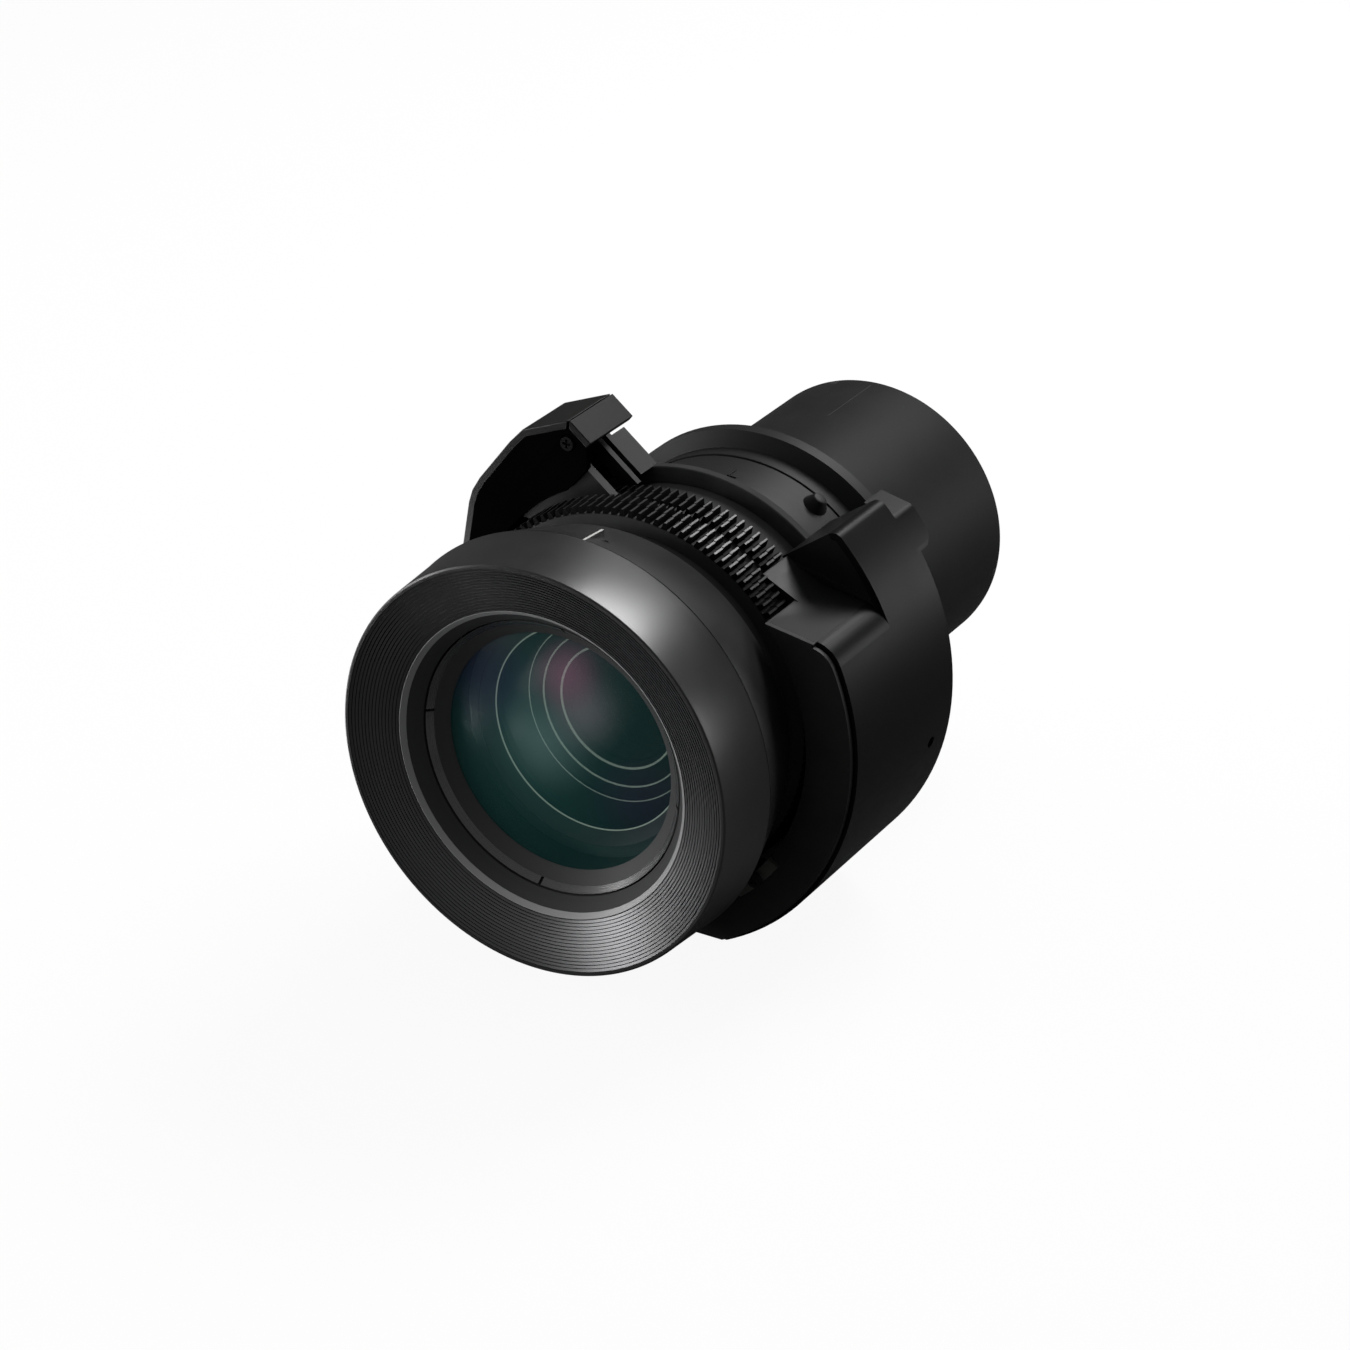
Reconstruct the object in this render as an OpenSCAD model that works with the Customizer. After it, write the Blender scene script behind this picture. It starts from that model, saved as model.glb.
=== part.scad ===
// Projection zoom lens: hood, sliding lens cells, two toothed rings, mount flange, rear tube and side covers.
// Distances named ..._y run along the lens axis, backwards from the hood's rim. The origin is the mount seat.
// Angles round the axis start at the top and grow towards +X, the right side as seen from the front.

/* [Fits] */
// Radial clearance of turning rings and sliding cells
run_gap = 0.06; // [0.03:0.01:0.09]
// Clearance between pieces fixed in each other
fit_gap = 0.02; // [0.01:0.01:0.05]
// Clearance between separate moving groups
free_gap = 0.3; // [0.2:0.05:0.5]

/* [Travel] */
// Travel of the focus group towards the front
focus_front = 2.1; // [1:0.1:2.4]
// Travel of the focus group towards the rear
focus_rear = 1.05; // [0.3:0.05:1.2]
// Travel of the variator towards the rear
variator_travel = 7; // [3:0.1:7.5]
// Travel of the compensator towards the rear
compensator_travel = 3.3; // [1:0.1:4]

/* [Barrel] */
// Distance from the rim to the mount seat
seat_y = 118.6; // [116:0.1:122]
// Distance from the rim to the fixed barrel's front end
barrel_y = 13.5; // [13.2:0.1:14.5]
// Bore radius that the cells slide in
bore_r = 38.96; // [38.7:0.01:39.2]
// Radius that the toothed rings turn on
bearing_r = 43; // [42.7:0.05:43.3]
// Rise of the tube behind the disc above the bearing
tube_rise = 1.8; // [1.4:0.05:2]
// Rise of the tube's last step, in front of the flange
tube_end_rise = 0.4; // [0.2:0.05:1]
// Radius of the dark disc
disc_r = 51.3; // [50.5:0.1:51.6]
// Thickness of the dark disc
disc_t = 2.6; // [2:0.1:3]
// Distance from the rim to the disc's front face
disc_y = 81.4; // [81.2:0.1:82]
// Distance from the rim to the fine groove on the tube
groove_y = 106.9; // [106:0.1:109]
// Width and depth of fine grooves
groove_w = 0.3; // [0.2:0.05:0.4]
// Distance from the rim to the aperture stop
stop_y = 101; // [100.5:0.1:102]
// Thickness of the aperture stop
stop_t = 1.2; // [0.8:0.1:2]
// Radius of the aperture
stop_r = 13; // [8:0.5:18]
// Base radius of the tapered boss pins
boss_r = 3; // [2:0.1:3.2]
// Height of the boss pins above the tube
boss_h = 3; // [2:0.1:4]
// Distance from the rim to the boss pins' axis
boss_y = 103.4; // [102:0.1:103.6]
// Length of the raised mark on the tube
mark_len = 4.4; // [3:0.1:6]
// Height of the raised mark
mark_h = 0.25; // [0.15:0.05:0.4]

/* [Flange and rear tube] */
// Length of the flange along the axis
flange_len = 6.5; // [6:0.1:7]
// Length of the flange's sloping front face
flange_slope = 2.4; // [1.5:0.1:3]
// Radius of the flange
flange_r = 49.5; // [48:0.1:51]
// Radius of the rear tube
rear_r = 40; // [39.7:0.05:40.2]
// Wall of the rear tube
rear_wall = 2.5; // [2.2:0.1:3]
// Length of the rear tube behind the seat
rear_len = 64.1; // [62:0.1:70]
// Rounding of the rear tube's end
rear_round = 2.4; // [1.5:0.1:2.4]
// Flange screw radius
screw_r = 1.25; // [1:0.05:1.3]
// Radius of the flange screws' circle
screw_pitch_r = 42.7; // [42.6:0.05:42.9]
// Depth of the flange screws in the tube
screw_depth = 7.5; // [5:0.5:8]

/* [Hood] */
// Radius of the hood's rim
hood_r = 56; // [55.8:0.1:57]
// Growth of the hood's radius from its rim to its parting line
hood_flare = 1.3; // [1.2:0.1:3]
// Length of the hood up to its parting line
hood_len = 20; // [18:0.1:21]
// Drop of the conical collar's radius towards the rear
collar_drop = 6.8; // [6.3:0.1:7.3]
// Length of the conical collar
collar_len = 22; // [21.5:0.1:22.3]
// Wall of the hood at its rim
rim_wall = 1.2; // [0.9:0.05:1.5]
// Bevel of the rim
rim_bevel = 0.3; // [0.2:0.05:0.4]
// Wall of the collar
collar_wall = 2.5; // [2:0.1:3]
// Length over which the collar grips the barrel
grip_len = 18; // [14:0.5:20]
// Number of steps in the baffle
steps = 15; // [10:1:20]
// Depth of the stepped cone
baffle_depth = 4.1; // [3.5:0.1:4.5]
// Inner radius of the stepped cone
baffle_r = 42.1; // [41.8:0.1:43]
// Wall of the baffle
baffle_wall = 1.8; // [1.4:0.1:2.2]
// Radial width of the smooth chamfer inside the steps
chamfer_w = 1.35; // [1:0.05:1.8]
// Length of the index rib
rib_len = 9.3; // [7:0.1:12]
// Width of the index rib
rib_w = 0.6; // [0.4:0.05:1]
// Drop of the index rib's crest towards its rear end
rib_drop = 0.8; // [0.3:0.1:1.2]
// Thickness of the white line
mark_t = 0.12; // [0.08:0.02:0.2]
// Radius of the collar's set screws
set_r = 1.1; // [0.8:0.1:1.4]

/* [Toothed rings] */
// Module of both toothed rings
module_size = 0.8; // [0.795:0.001:0.805]
// Teeth of the focus ring
focus_teeth = 130; // [129:1:131]
// Teeth of the zoom ring
zoom_teeth = 122; // [121:1:123]
// Distance from the rim to the focus ring's teeth
focus_teeth_y = 48.8; // [48.5:0.1:49.5]
// Distance from the rim to the zoom ring's teeth
zoom_teeth_y = 64.4; // [63.9:0.1:65]
// Face width of the focus ring's teeth
focus_face = 8.4; // [8:0.1:8.6]
// Face width of the zoom ring's teeth
zoom_face = 7.8; // [7:0.1:8.2]
// Slit between the two staggered rows of teeth on a ring
row_slit = 0.1; // [0.1:0.05:0.4]
// Wall of a ring's hub over its pin groove
hub_wall = 1.6; // [1.2:0.1:1.9]
// Depth of a ring's pin groove
pin_groove = 2.2; // [2:0.1:2.3]

/* [Lens cells] */
// Radius of the follower pins
pin_r = 1.4; // [1.2:0.05:1.5]
// Wall of the cells
cell_wall = 2; // [1.6:0.1:2.2]
// Distance from the rim to the retaining ring
ring_y = 9.5; // [9.3:0.1:9.8]
// Radius of the retaining ring and the focus cell's nose
nose_r = 37.5; // [37.3:0.05:37.6]
// Inner radius of the retaining ring
ring_in_r = 35.9; // [35.5:0.1:36.2]
// Depth of the retaining ring
ring_t = 1.6; // [1.4:0.1:2]
// Wall of the focus cell round the retaining ring
nose_wall = 1; // [0.8:0.1:1.2]
// Clear radius of the front glass
glass_r = 32.6; // [32:0.1:33]
// Distance from the rim to the edge of the front glass
glass_y = 13.9; // [13.7:0.1:14.5]
// Radius of the focus group's lenses
front_lens_r = 34.5; // [34.2:0.1:34.6]
// Radius of curvature of the front face
front_curve = 110; // [100:1:130]
// Radius of curvature behind the front element
hollow_curve = 45.5; // [44:0.5:50]
// Thickness of the front element at its middle
front_t = 3.4; // [2.5:0.1:4]
// Radial width of the spacer's contact face
spacer_w = 3; // [2:0.1:3]
// Radius of the spacer's opening
spacer_r = 28.4; // [27:0.1:30]
// Distance from the rim to the spacer's front end
spacer_y = 25.2; // [25:0.1:25.6]
// Length of the spacer
spacer_len = 5.3; // [5:0.1:5.6]
// Radius of curvature of the second element
second_curve = 138; // [130:1:160]
// Edge thickness of the second element
second_t = 4.7; // [4:0.1:4.8]
// Length of the ring that locks the second element
lock_len = 2.2; // [1.8:0.1:2.3]
// Distance from the rim to the rear end of the focus cell
focus_end_y = 54; // [53.5:0.1:54.5]
// Distance from the rim to the variator's nose
variator_y = 39.1; // [39:0.1:39.4]
// Distance from the rim to the variator's guide band
band_y = 58; // [57.6:0.1:58.3]
// Length of the variator's guide band
band_len = 8.4; // [7:0.1:9]
// Opening radius of the variator's nose
variator_r = 24.9; // [24:0.1:25.4]
// Radius of the variator's lens
variator_lens_r = 18; // [17.8:0.1:18.3]
// Edge thickness of the variator's lens
variator_t = 8; // [7:0.1:9]
// Radius of curvature of the variator's lens
variator_curve = 48; // [44:1:60]
// Distance from the rim to the compensator's front end
compensator_y = 72.6; // [72.2:0.1:72.9]
// Length of the compensator
compensator_len = 23.4; // [22.5:0.1:24]
// Radius of the compensator's lens
compensator_lens_r = 20; // [18:0.1:22]
// Radius of curvature of the compensator's lens
compensator_curve = 60; // [50:1:90]
// Edge thickness of the compensator's lens
compensator_t = 4; // [3:0.1:5]
// Distance from the rear cell to the rear tube's end
rear_cell_gap = 6.1; // [5:0.1:8]
// Length of the rear cell
rear_cell_len = 26; // [24:0.5:27]
// Radius of the rear lens
rear_lens_r = 29; // [27:0.1:31]
// Radius of curvature of the rear lens
rear_curve = 70; // [60:1:100]

/* [Right cover] */
// Outer radius of the covers
cover_r = 68.5; // [68.2:0.1:69.5]
// Wall of the covers
cover_t = 2; // [1.6:0.1:2.2]
// Distance from the rim to the right cover's front end
cover_y = 44.6; // [44.5:0.1:45.5]
// Distance from the rim to the covers' rear end
cover_end_y = 96.4; // [95.5:0.1:98]
// Depth of the flat bottom below the axis
bottom_z = 61; // [60:0.1:62]
// Thickness of the right front plate
plate_t = 1.5; // [1.2:0.1:1.6]
// Distance from the rim to the right front plate's rear face
plate_y = 44; // [43.8:0.1:44.1]
// Inner radius of the front plates
plate_r = 54.8; // [54.3:0.1:55.5]
// Inset of the right front plate from the cover's outline
plate_inset = 1; // [0.6:0.1:1.4]
// Distance of the sloping shelf from the axis, square to it
shelf_d = 41.35; // [41:0.05:42]
// Rounding between the shelf and the cover
shelf_roll = 9; // [6:0.5:11]
// Distance from the rim to the shelf's inner step
step_y = 57.9; // [57.7:0.1:58.5]
// Radius of the shelf's inner edge behind the step
inner_r = 50.3; // [50.1:0.05:50.5]
// Distance from the rim to the dark wall of the right wing
wall_y = 70.5; // [69.5:0.1:71]
// Distance of the sloping end wall from the axis, square to it
ridge_d = 13.35; // [13:0.05:14]
// Rounding of the ridge
ridge_roll = 3; // [2:0.1:4]
// Height of the fine rib on the dark wall
wall_rib = 0.6; // [0.4:0.1:0.9]
// Distance of the fine rib from the axis, square to it
wall_rib_d = 45; // [44.5:0.1:45.5]
// Distance from the rim to the end of the ridge
ridge_end_y = 94; // [93:0.1:94.5]
// Length of the tab behind the ridge
tab_len = 9.5; // [8:0.1:10]
// Distance of the tab's flat top from the axis, square to it
tab_d = 55.6; // [55:0.1:56.5]
// Wall of the tab
tab_t = 4; // [3:0.1:5]
// Radius of the hole in the right cover
hole_r = 1.6; // [1:0.1:2]
// Distance from the rim to the hole in the right cover
hole_y = 87; // [84:0.1:90]
// Length of the small bracket round the axis
stop_len = 16; // [12:0.5:18]
// Thickness of the small bracket
stop_plate_t = 1.2; // [0.8:0.1:1.5]
// Radial width of the small bracket
stop_w = 3.2; // [2.5:0.1:4]

/* [Left cover] */
// Distance from the axis to the left cover's flat side
left_w = 57.8; // [57.5:0.1:59]
// Width of the slanting corner at the lower left
corner_w = 25.8; // [20:0.1:30]
// Height of the slanting corner at the lower left
corner_h = 29; // [24:0.1:34]
// Distance from the rim to the left cover's front end
left_y = 59; // [58.8:0.1:59.3]
// Length of the left cover's upper part
left_len = 21; // [20.5:0.1:21.5]
// Height above the axis at which the left cover gets longer
left_step_z = 37; // [34:0.5:39]
// Thickness of the left front plate
left_plate_t = 2; // [1.6:0.1:2.2]
// Length of the pale cap across its slope
cap_len = 8; // [7:0.1:9]
// Distance of the block's sloping top from the axis, square to it
block_d = 30; // [29:0.1:30.4]
// Length of the block
block_len = 3; // [2.6:0.1:3.1]
// Distance of the rail's sloping top from the axis, square to it
rail_d = 31.2; // [30:0.1:31.5]
// Distance from the rim to the rail
rail_y = 70.9; // [70:0.1:71.5]
// Thickness of the rail
rail_t = 2; // [1.5:0.1:2.5]
// Distance of the guide plate's sloping top from the axis, square to it
guide_d = 30.7; // [30.4:0.1:31.2]
// Distance from the rim to the guide plate
guide_y = 75.4; // [75:0.1:76]
// Length of the guide plate
guide_len = 8.2; // [7.5:0.1:8.5]
// Thickness of the guide plate
guide_t = 2; // [1.6:0.1:2.2]
// Radius of the screw well in the left front plate
well_r = 2.3; // [2.1:0.1:2.6]
// Depth of the screw well
well_depth = 0.8; // [0.5:0.1:1]

/* [Bracket] */
// Thickness of the bracket plate
bracket_t = 2; // [1.6:0.1:2.4]
// Radius of small screws
small_screw_r = 1; // [0.8:0.05:1.1]

/* [Hidden] */

// Facets of true curves, for display only
round_fn = 180;
small_fn = 48;
// Overrun of every cut
over = 1;

// Angles
third = 120;
quarter = 90;
index_angle = 3.9;
set_angle = 7.2;
boss_angle = 31.3;
mark_angle = 1.8;
notch_angle = 102;
seam_angle = -0.6;
ring_notch_angle = 6;
focus_pin_angle = 60;
flange_screw_angle = 45;
bracket_screw_angles = [80, 180, 280];
shelf_angle = 10;
ridge_angle = -35.4;
rib_angle = 13;
tab_angle = 13;
tab_end_angle = 58;
hole_angle = 100.4;
stop_angle = 132.5;
cap_angle = 38.8;
row_turn_share = 0.14;
plug_step = 1;

// Places that follow from the sizes above
tube_r = bearing_r + tube_rise;
tube_end_r = tube_r + tube_end_rise;
hood_back_r = hood_r + hood_flare;
collar_r = hood_back_r - collar_drop;
plug_r = rear_r - plug_step;
flange_y = seat_y - flange_len;
rear_end_y = seat_y + rear_len;
collar_y = hood_len + collar_len;
hood_bore = hood_r - rim_wall;
baffle_end_y = rim_bevel + baffle_depth;
cell_r = bore_r - run_gap;
groove_r = bearing_r + pin_groove;
hub_r = groove_r + hub_wall;
pin_end_r = groove_r - free_gap / 2;
focus_hub_y = collar_y + free_gap;
focus_hub_end = focus_teeth_y + focus_face + free_gap;
zoom_hub_y = focus_hub_end + free_gap;
zoom_hub_end = disc_y - free_gap;
disc_end_y = disc_y + disc_t;
bracket_end_y = disc_end_y + bracket_t;
left_end_y = left_y + left_len;
front_vertex = glass_y - sag(front_curve, glass_r);
front_edge_y = front_vertex + sag(front_curve, front_lens_r);
second_y = spacer_y + spacer_len;
second_end_y = second_y + second_t;
lock_end_y = second_end_y + lock_len;
focus_pin_y = (focus_hub_y + focus_hub_end + focus_front - focus_rear) / 2;
variator_pin_y = band_y + band_len / 2;
compensator_pin_y = compensator_y + pin_r + free_gap;
bracket_screw_r = (disc_r + bearing_r) / 2;

// Depth of a ball of radius big across a circle of radius small
function sag(big, small) = big - sqrt(big * big - small * small);

// Point at an angle on a circle
function on_circle(r, angle) = r * [sin(angle), cos(angle)];

// Shifts a piece from distances behind the rim to the frame of the seat
module placed() {
    translate([0, -seat_y, 0]) children();
}

// Solid of revolution; each point is [radius, distance behind the rim]
module turned(points) {
    placed() rotate([-90, 0, 0]) rotate_extrude($fn = round_fn) polygon(points);
}

// Ring between two radii and two distances
module ring(outer, inner, y0, y1) {
    turned([[inner, y0], [outer, y0], [outer, y1], [inner, y1]]);
}

// Solid cylinder on the axis
module disc(r, y0, y1) {
    placed() translate([0, y0, 0]) rotate([-90, 0, 0]) cylinder(h = y1 - y0, r = r, $fn = round_fn);
}

// Ball that bounds or hollows a lens; its front pole lies at a distance behind the rim
module ball_behind(r, pole_y) {
    placed() translate([0, pole_y + r, 0]) sphere(r = r, $fn = round_fn);
}

// Ball whose rear pole lies at a distance behind the rim
module ball_before(r, pole_y) {
    placed() translate([0, pole_y - r, 0]) sphere(r = r, $fn = round_fn);
}

// Small bar along the axis direction at a place
module bar(r, y0, y1, x, z) {
    placed() translate([x, y0, z]) rotate([-90, 0, 0]) cylinder(h = y1 - y0, r = r, $fn = small_fn);
}

// Plate between two distances; its outline is drawn in X and Z
module plate(y0, y1) {
    placed() translate([0, y1, 0]) rotate([90, 0, 0]) linear_extrude(height = y1 - y0) children();
}

// Turns a piece from the top to an angle round the axis
module at_angle(angle) {
    rotate([0, angle, 0]) children();
}

// Radial pin at an angle
module radial_pin(angle, y, r, from_r, to_r) {
    at_angle(angle) placed() translate([0, y, from_r]) cylinder(h = to_r - from_r, r = r, $fn = small_fn);
}

// Radial box at an angle
module radial_box(angle, y0, y1, width, from_r, to_r) {
    at_angle(angle) placed() translate([-width / 2, y0, from_r]) cube([width, y1 - y0, to_r - from_r]);
}

// Half plane on the axis side of a line, given by the angle of its normal and its distance
module below(angle, d) {
    reach = 4 * cover_r;
    rotate(-angle) translate([-reach, d - reach]) square([2 * reach, reach]);
}

// Pie-shaped outline between two angles
module sector(from, to) {
    slices = ceil((to - from) / 30);
    polygon([[0, 0], for (i = [0:slices]) on_circle(2 * cover_r, from + (to - from) * i / slices)]);
}

// Screw that enters from the front at sign 1 or from the rear at sign -1, with a cross recess
module axial_screw(shank_r, face_y, length, x, z, sign) {
    cap_r = 1.9 * shank_r;
    cap_h = 1.4 * shank_r;
    slot_w = cap_r / 3;
    slot_l = 1.3 * cap_r;
    placed() translate([x, face_y, z]) rotate([-90 * sign, 0, 0]) difference() {
        union() {
            cylinder(h = length, r = shank_r, $fn = small_fn);
            cylinder(h = cap_h, r = cap_r, $fn = small_fn);
        }
        for (a = [0, quarter]) rotate(a) translate([-slot_l / 2, -slot_w / 2, -cap_h / 2]) cube([slot_l, slot_w, cap_h]);
    }
}

// Barrel

// Slots for three follower pins with their travel to the front and to the rear
module pin_slots(first, y, front, rear) {
    slack = free_gap / 3;
    for (i = [0:2])
        radial_box(
            first + i * third, y - pin_r - front - slack, y + pin_r + rear + slack,
            2 * (pin_r + run_gap), bore_r - over, bearing_r + over
        );
}

// Raised angle mark on top of the tube
module raised_mark() {
    line_w = mark_h * 2;
    mark_y = groove_y - mark_len * 2.6;
    radial_box(mark_angle, mark_y, mark_y + mark_len, line_w, tube_r - mark_h, tube_r + mark_h);
    at_angle(mark_angle) placed() translate([0, mark_y, tube_r - mark_h]) cube([mark_len / 2, line_w, 2 * mark_h]);
}

module main_barrel() {
    color([0.1, 0.1, 0.11]) {
        difference() {
            turned([
                [bore_r, barrel_y], [bearing_r, barrel_y], [bearing_r, disc_y], [disc_r, disc_y],
                [disc_r, disc_end_y], [tube_r, disc_end_y], [tube_r, groove_y], [tube_r - groove_w, groove_y],
                [tube_r - groove_w, groove_y + groove_w], [tube_end_r, groove_y + groove_w],
                [tube_end_r, flange_y], [plug_r + fit_gap, flange_y], [plug_r + fit_gap, stop_y],
                [bore_r, stop_y]
            ]);
            pin_slots(focus_pin_angle, focus_pin_y, focus_front, focus_rear);
            pin_slots(0, variator_pin_y, 0, variator_travel);
            pin_slots(focus_pin_angle, compensator_pin_y, 0, compensator_travel);
            for (i = [0:3])
                at_angle(flange_screw_angle + i * quarter)
                    bar(screw_r + fit_gap, flange_y - screw_depth, flange_y + over, 0, screw_pitch_r);
            for (a = bracket_screw_angles)
                at_angle(a) bar(small_screw_r + fit_gap, disc_y + disc_t / 4, disc_end_y + over, 0, bracket_screw_r);
        }
        raised_mark();
    }
}

module guide_pins() {
    top_r_share = 0.62;
    color([0.16, 0.16, 0.17])
        for (i = [0:2]) difference() {
            at_angle(boss_angle + i * third) placed() translate([0, boss_y, tube_r - boss_h / 2])
                cylinder(h = boss_h * 1.5, r1 = boss_r * (1.5 - top_r_share / 2), r2 = boss_r * top_r_share, $fn = small_fn);
            disc(tube_r + fit_gap, boss_y - 2 * boss_r, boss_y + 2 * boss_r);
        }
}

// Flange, aperture and rear tube

module mount_flange() {
    color([0.09, 0.09, 0.1]) difference() {
        turned([
            [plug_r + fit_gap, flange_y], [tube_end_r, flange_y], [flange_r, flange_y + flange_slope],
            [flange_r, seat_y - groove_w], [flange_r - groove_w, seat_y], [rear_r + fit_gap, seat_y],
            [plug_r + fit_gap, seat_y - plug_step]
        ]);
        for (i = [0:3]) at_angle(flange_screw_angle + i * quarter) {
            bar(screw_r + fit_gap, flange_y - over, seat_y + over, 0, screw_pitch_r);
            bar(1.9 * screw_r + fit_gap, seat_y - 1.4 * screw_r - groove_w, seat_y + over, 0, screw_pitch_r);
        }
    }
}

module flange_screws() {
    color([0.3, 0.3, 0.32])
        for (i = [0:3]) at_angle(flange_screw_angle + i * quarter)
            axial_screw(screw_r, seat_y - groove_w, flange_len + screw_depth - 2 * groove_w, 0, screw_pitch_r, -1);
}

module stop_plate() {
    color([0.04, 0.04, 0.04]) ring(plug_r, stop_r, stop_y, stop_y + stop_t);
}

module rear_barrel() {
    inner = rear_r - rear_wall;
    notch_y = rear_end_y - 2 * rear_round;
    bends = [0:15:90];
    color([0.1, 0.1, 0.11]) difference() {
        turned(concat(
            [[inner, stop_y + stop_t], [plug_r, stop_y + stop_t], [plug_r, seat_y], [rear_r, seat_y]],
            [for (a = bends) [rear_r - rear_round * (1 - cos(a)), rear_end_y - rear_round * (1 - sin(a))]],
            [[inner, rear_end_y]]
        ));
        for (i = [0:2])
            radial_box(
                notch_angle + i * third, notch_y, rear_end_y - rear_round, rear_round, rear_r - rear_wall / 2, rear_r + over
            );
        radial_box(
            seam_angle, seat_y + rear_len / 2, notch_y, groove_w, rear_r - groove_w / 2, rear_r + over
        );
    }
}

rear_bore_r = rear_r - rear_wall - fit_gap;
rear_back_y = rear_end_y - rear_cell_gap;
rear_front_y = rear_back_y - rear_cell_len;
rear_seat_y = rear_front_y + rear_cell_len / 3;
rear_lip_r = rear_lens_r - cell_wall;

module rear_cell() {
    color([0.08, 0.08, 0.09]) turned([
        [rear_lip_r, rear_front_y], [rear_bore_r, rear_front_y], [rear_bore_r, rear_back_y],
        [rear_lens_r + fit_gap, rear_back_y], [rear_lens_r + fit_gap, rear_seat_y], [rear_lip_r, rear_seat_y]
    ]);
}

module rear_lens() {
    lip = sag(rear_curve, rear_lip_r);
    color([0.5, 0.6, 0.6]) intersection() {
        disc(rear_lens_r, rear_seat_y - lip - over, rear_back_y + lip + over);
        ball_behind(rear_curve, rear_seat_y - lip + fit_gap);
        ball_before(rear_curve, rear_back_y + lip - fit_gap);
    }
}

module rear_retainer() {
    ring_end = rear_end_y - rear_round;
    color([0.08, 0.08, 0.09]) turned([
        [rear_bore_r, rear_back_y], [rear_bore_r, ring_end], [rear_lens_r, ring_end],
        [rear_lip_r, ring_end - cell_wall], [rear_lip_r, rear_back_y]
    ]);
}

// Hood

set_y = hood_len + collar_len / 4;
grip_r = bearing_r + collar_wall;

// Radius of the collar's cone at a distance behind the rim
function collar_at(y) = hood_back_r + (collar_r - hood_back_r) * (y - hood_len) / collar_len;

module hood_body() {
    floor_y = collar_y - collar_wall;
    turned([
        [hood_bore, rim_bevel], [hood_r - rim_bevel, 0], [hood_r, rim_bevel], [hood_back_r, hood_len],
        [hood_back_r - groove_w, hood_len], [hood_back_r - groove_w, hood_len + groove_w],
        [collar_at(hood_len + groove_w), hood_len + groove_w], [collar_r, collar_y],
        [bearing_r + fit_gap, collar_y], [bearing_r + fit_gap, collar_y - grip_len],
        [grip_r, collar_y - grip_len], [grip_r, floor_y],
        [collar_at(floor_y) - collar_wall, floor_y], [hood_bore, hood_len - collar_wall]
    ]);
    for (i = [0:2])
        radial_pin(set_angle + i * third, set_y, 3 * set_r, grip_r - collar_wall / 2, collar_at(set_y + 3 * set_r) - collar_wall / 2);
}

// Stands a side outline, drawn as [distance, radius], upright at the index angle
module rib(points) {
    at_angle(index_angle) placed() translate([-rib_w / 2, 0, 0]) rotate([90, 0, 90])
        linear_extrude(height = rib_w) polygon(points);
}

rib_y = hood_len + groove_w;
rib_end_y = hood_len + rib_len;

module hood_shell() {
    foot = collar_at(rib_end_y) - collar_wall / 2;
    color([0.08, 0.08, 0.09]) difference() {
        union() {
            hood_body();
            rib([
                [rib_y, foot], [rib_end_y, foot],
                [rib_end_y, hood_back_r - rib_drop - mark_t], [rib_y, hood_back_r - mark_t]
            ]);
        }
        for (i = [0:2])
            radial_pin(set_angle + i * third, set_y, set_r + fit_gap, bearing_r - over, hood_back_r + over);
    }
}

module index_mark() {
    color([0.9, 0.9, 0.9]) rib([
        [rib_y, hood_back_r - mark_t], [rib_end_y, hood_back_r - rib_drop - mark_t],
        [rib_end_y, hood_back_r - rib_drop], [rib_y, hood_back_r]
    ]);
}

module hood_screws() {
    socket_share = 0.55;
    top_r = collar_at(set_y) - set_r / 2;
    color([0.05, 0.05, 0.05])
        for (i = [0:2]) difference() {
            radial_pin(set_angle + i * third, set_y, set_r, bearing_r + fit_gap, top_r);
            at_angle(set_angle + i * third) placed() translate([0, set_y, top_r - set_r])
                cylinder(h = 2 * set_r, r = set_r * socket_share, $fn = 6);
        }
}

module front_baffle() {
    outer = hood_bore - fit_gap;
    step_w = (outer - baffle_r) / steps;
    step_d = baffle_depth / steps;
    hub = baffle_r + baffle_wall;
    color([0.12, 0.12, 0.13]) turned(concat(
        [for (i = [0:steps - 1], k = [0, 1]) [outer - i * step_w, rim_bevel + (i + k) * step_d]],
        [
            [baffle_r + fit_gap, baffle_end_y], [baffle_r + fit_gap, barrel_y], [hub, barrel_y],
            [hub, baffle_end_y + baffle_wall], [outer, rim_bevel + step_d + baffle_wall]
        ]
    ));
}

module hood_inner_ring() {
    inner = nose_r + free_gap + 4 * fit_gap;
    color([0.1, 0.1, 0.11]) turned([
        [baffle_r, baffle_end_y], [baffle_r - chamfer_w, baffle_end_y + chamfer_w], [inner, ring_y - free_gap],
        [inner, barrel_y], [baffle_r, barrel_y]
    ]);
}

// Toothed rings

// Outline of a ring of teeth; the shares are of one pitch, and of one module below the pitch circle
module teeth_outline(count, turn) {
    land_share = 0.16;
    foot_share = 0.38;
    root_share = 1.25;
    tip = module_size * (count / 2 + 1);
    root = module_size * (count / 2 - root_share);
    polygon([
        for (i = [0:count - 1], k = [[root, -foot_share], [tip, -land_share], [tip, land_share], [root, foot_share]])
            on_circle(k[0], turn + (i + k[1]) * 360 / count)
    ]);
}

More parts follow.
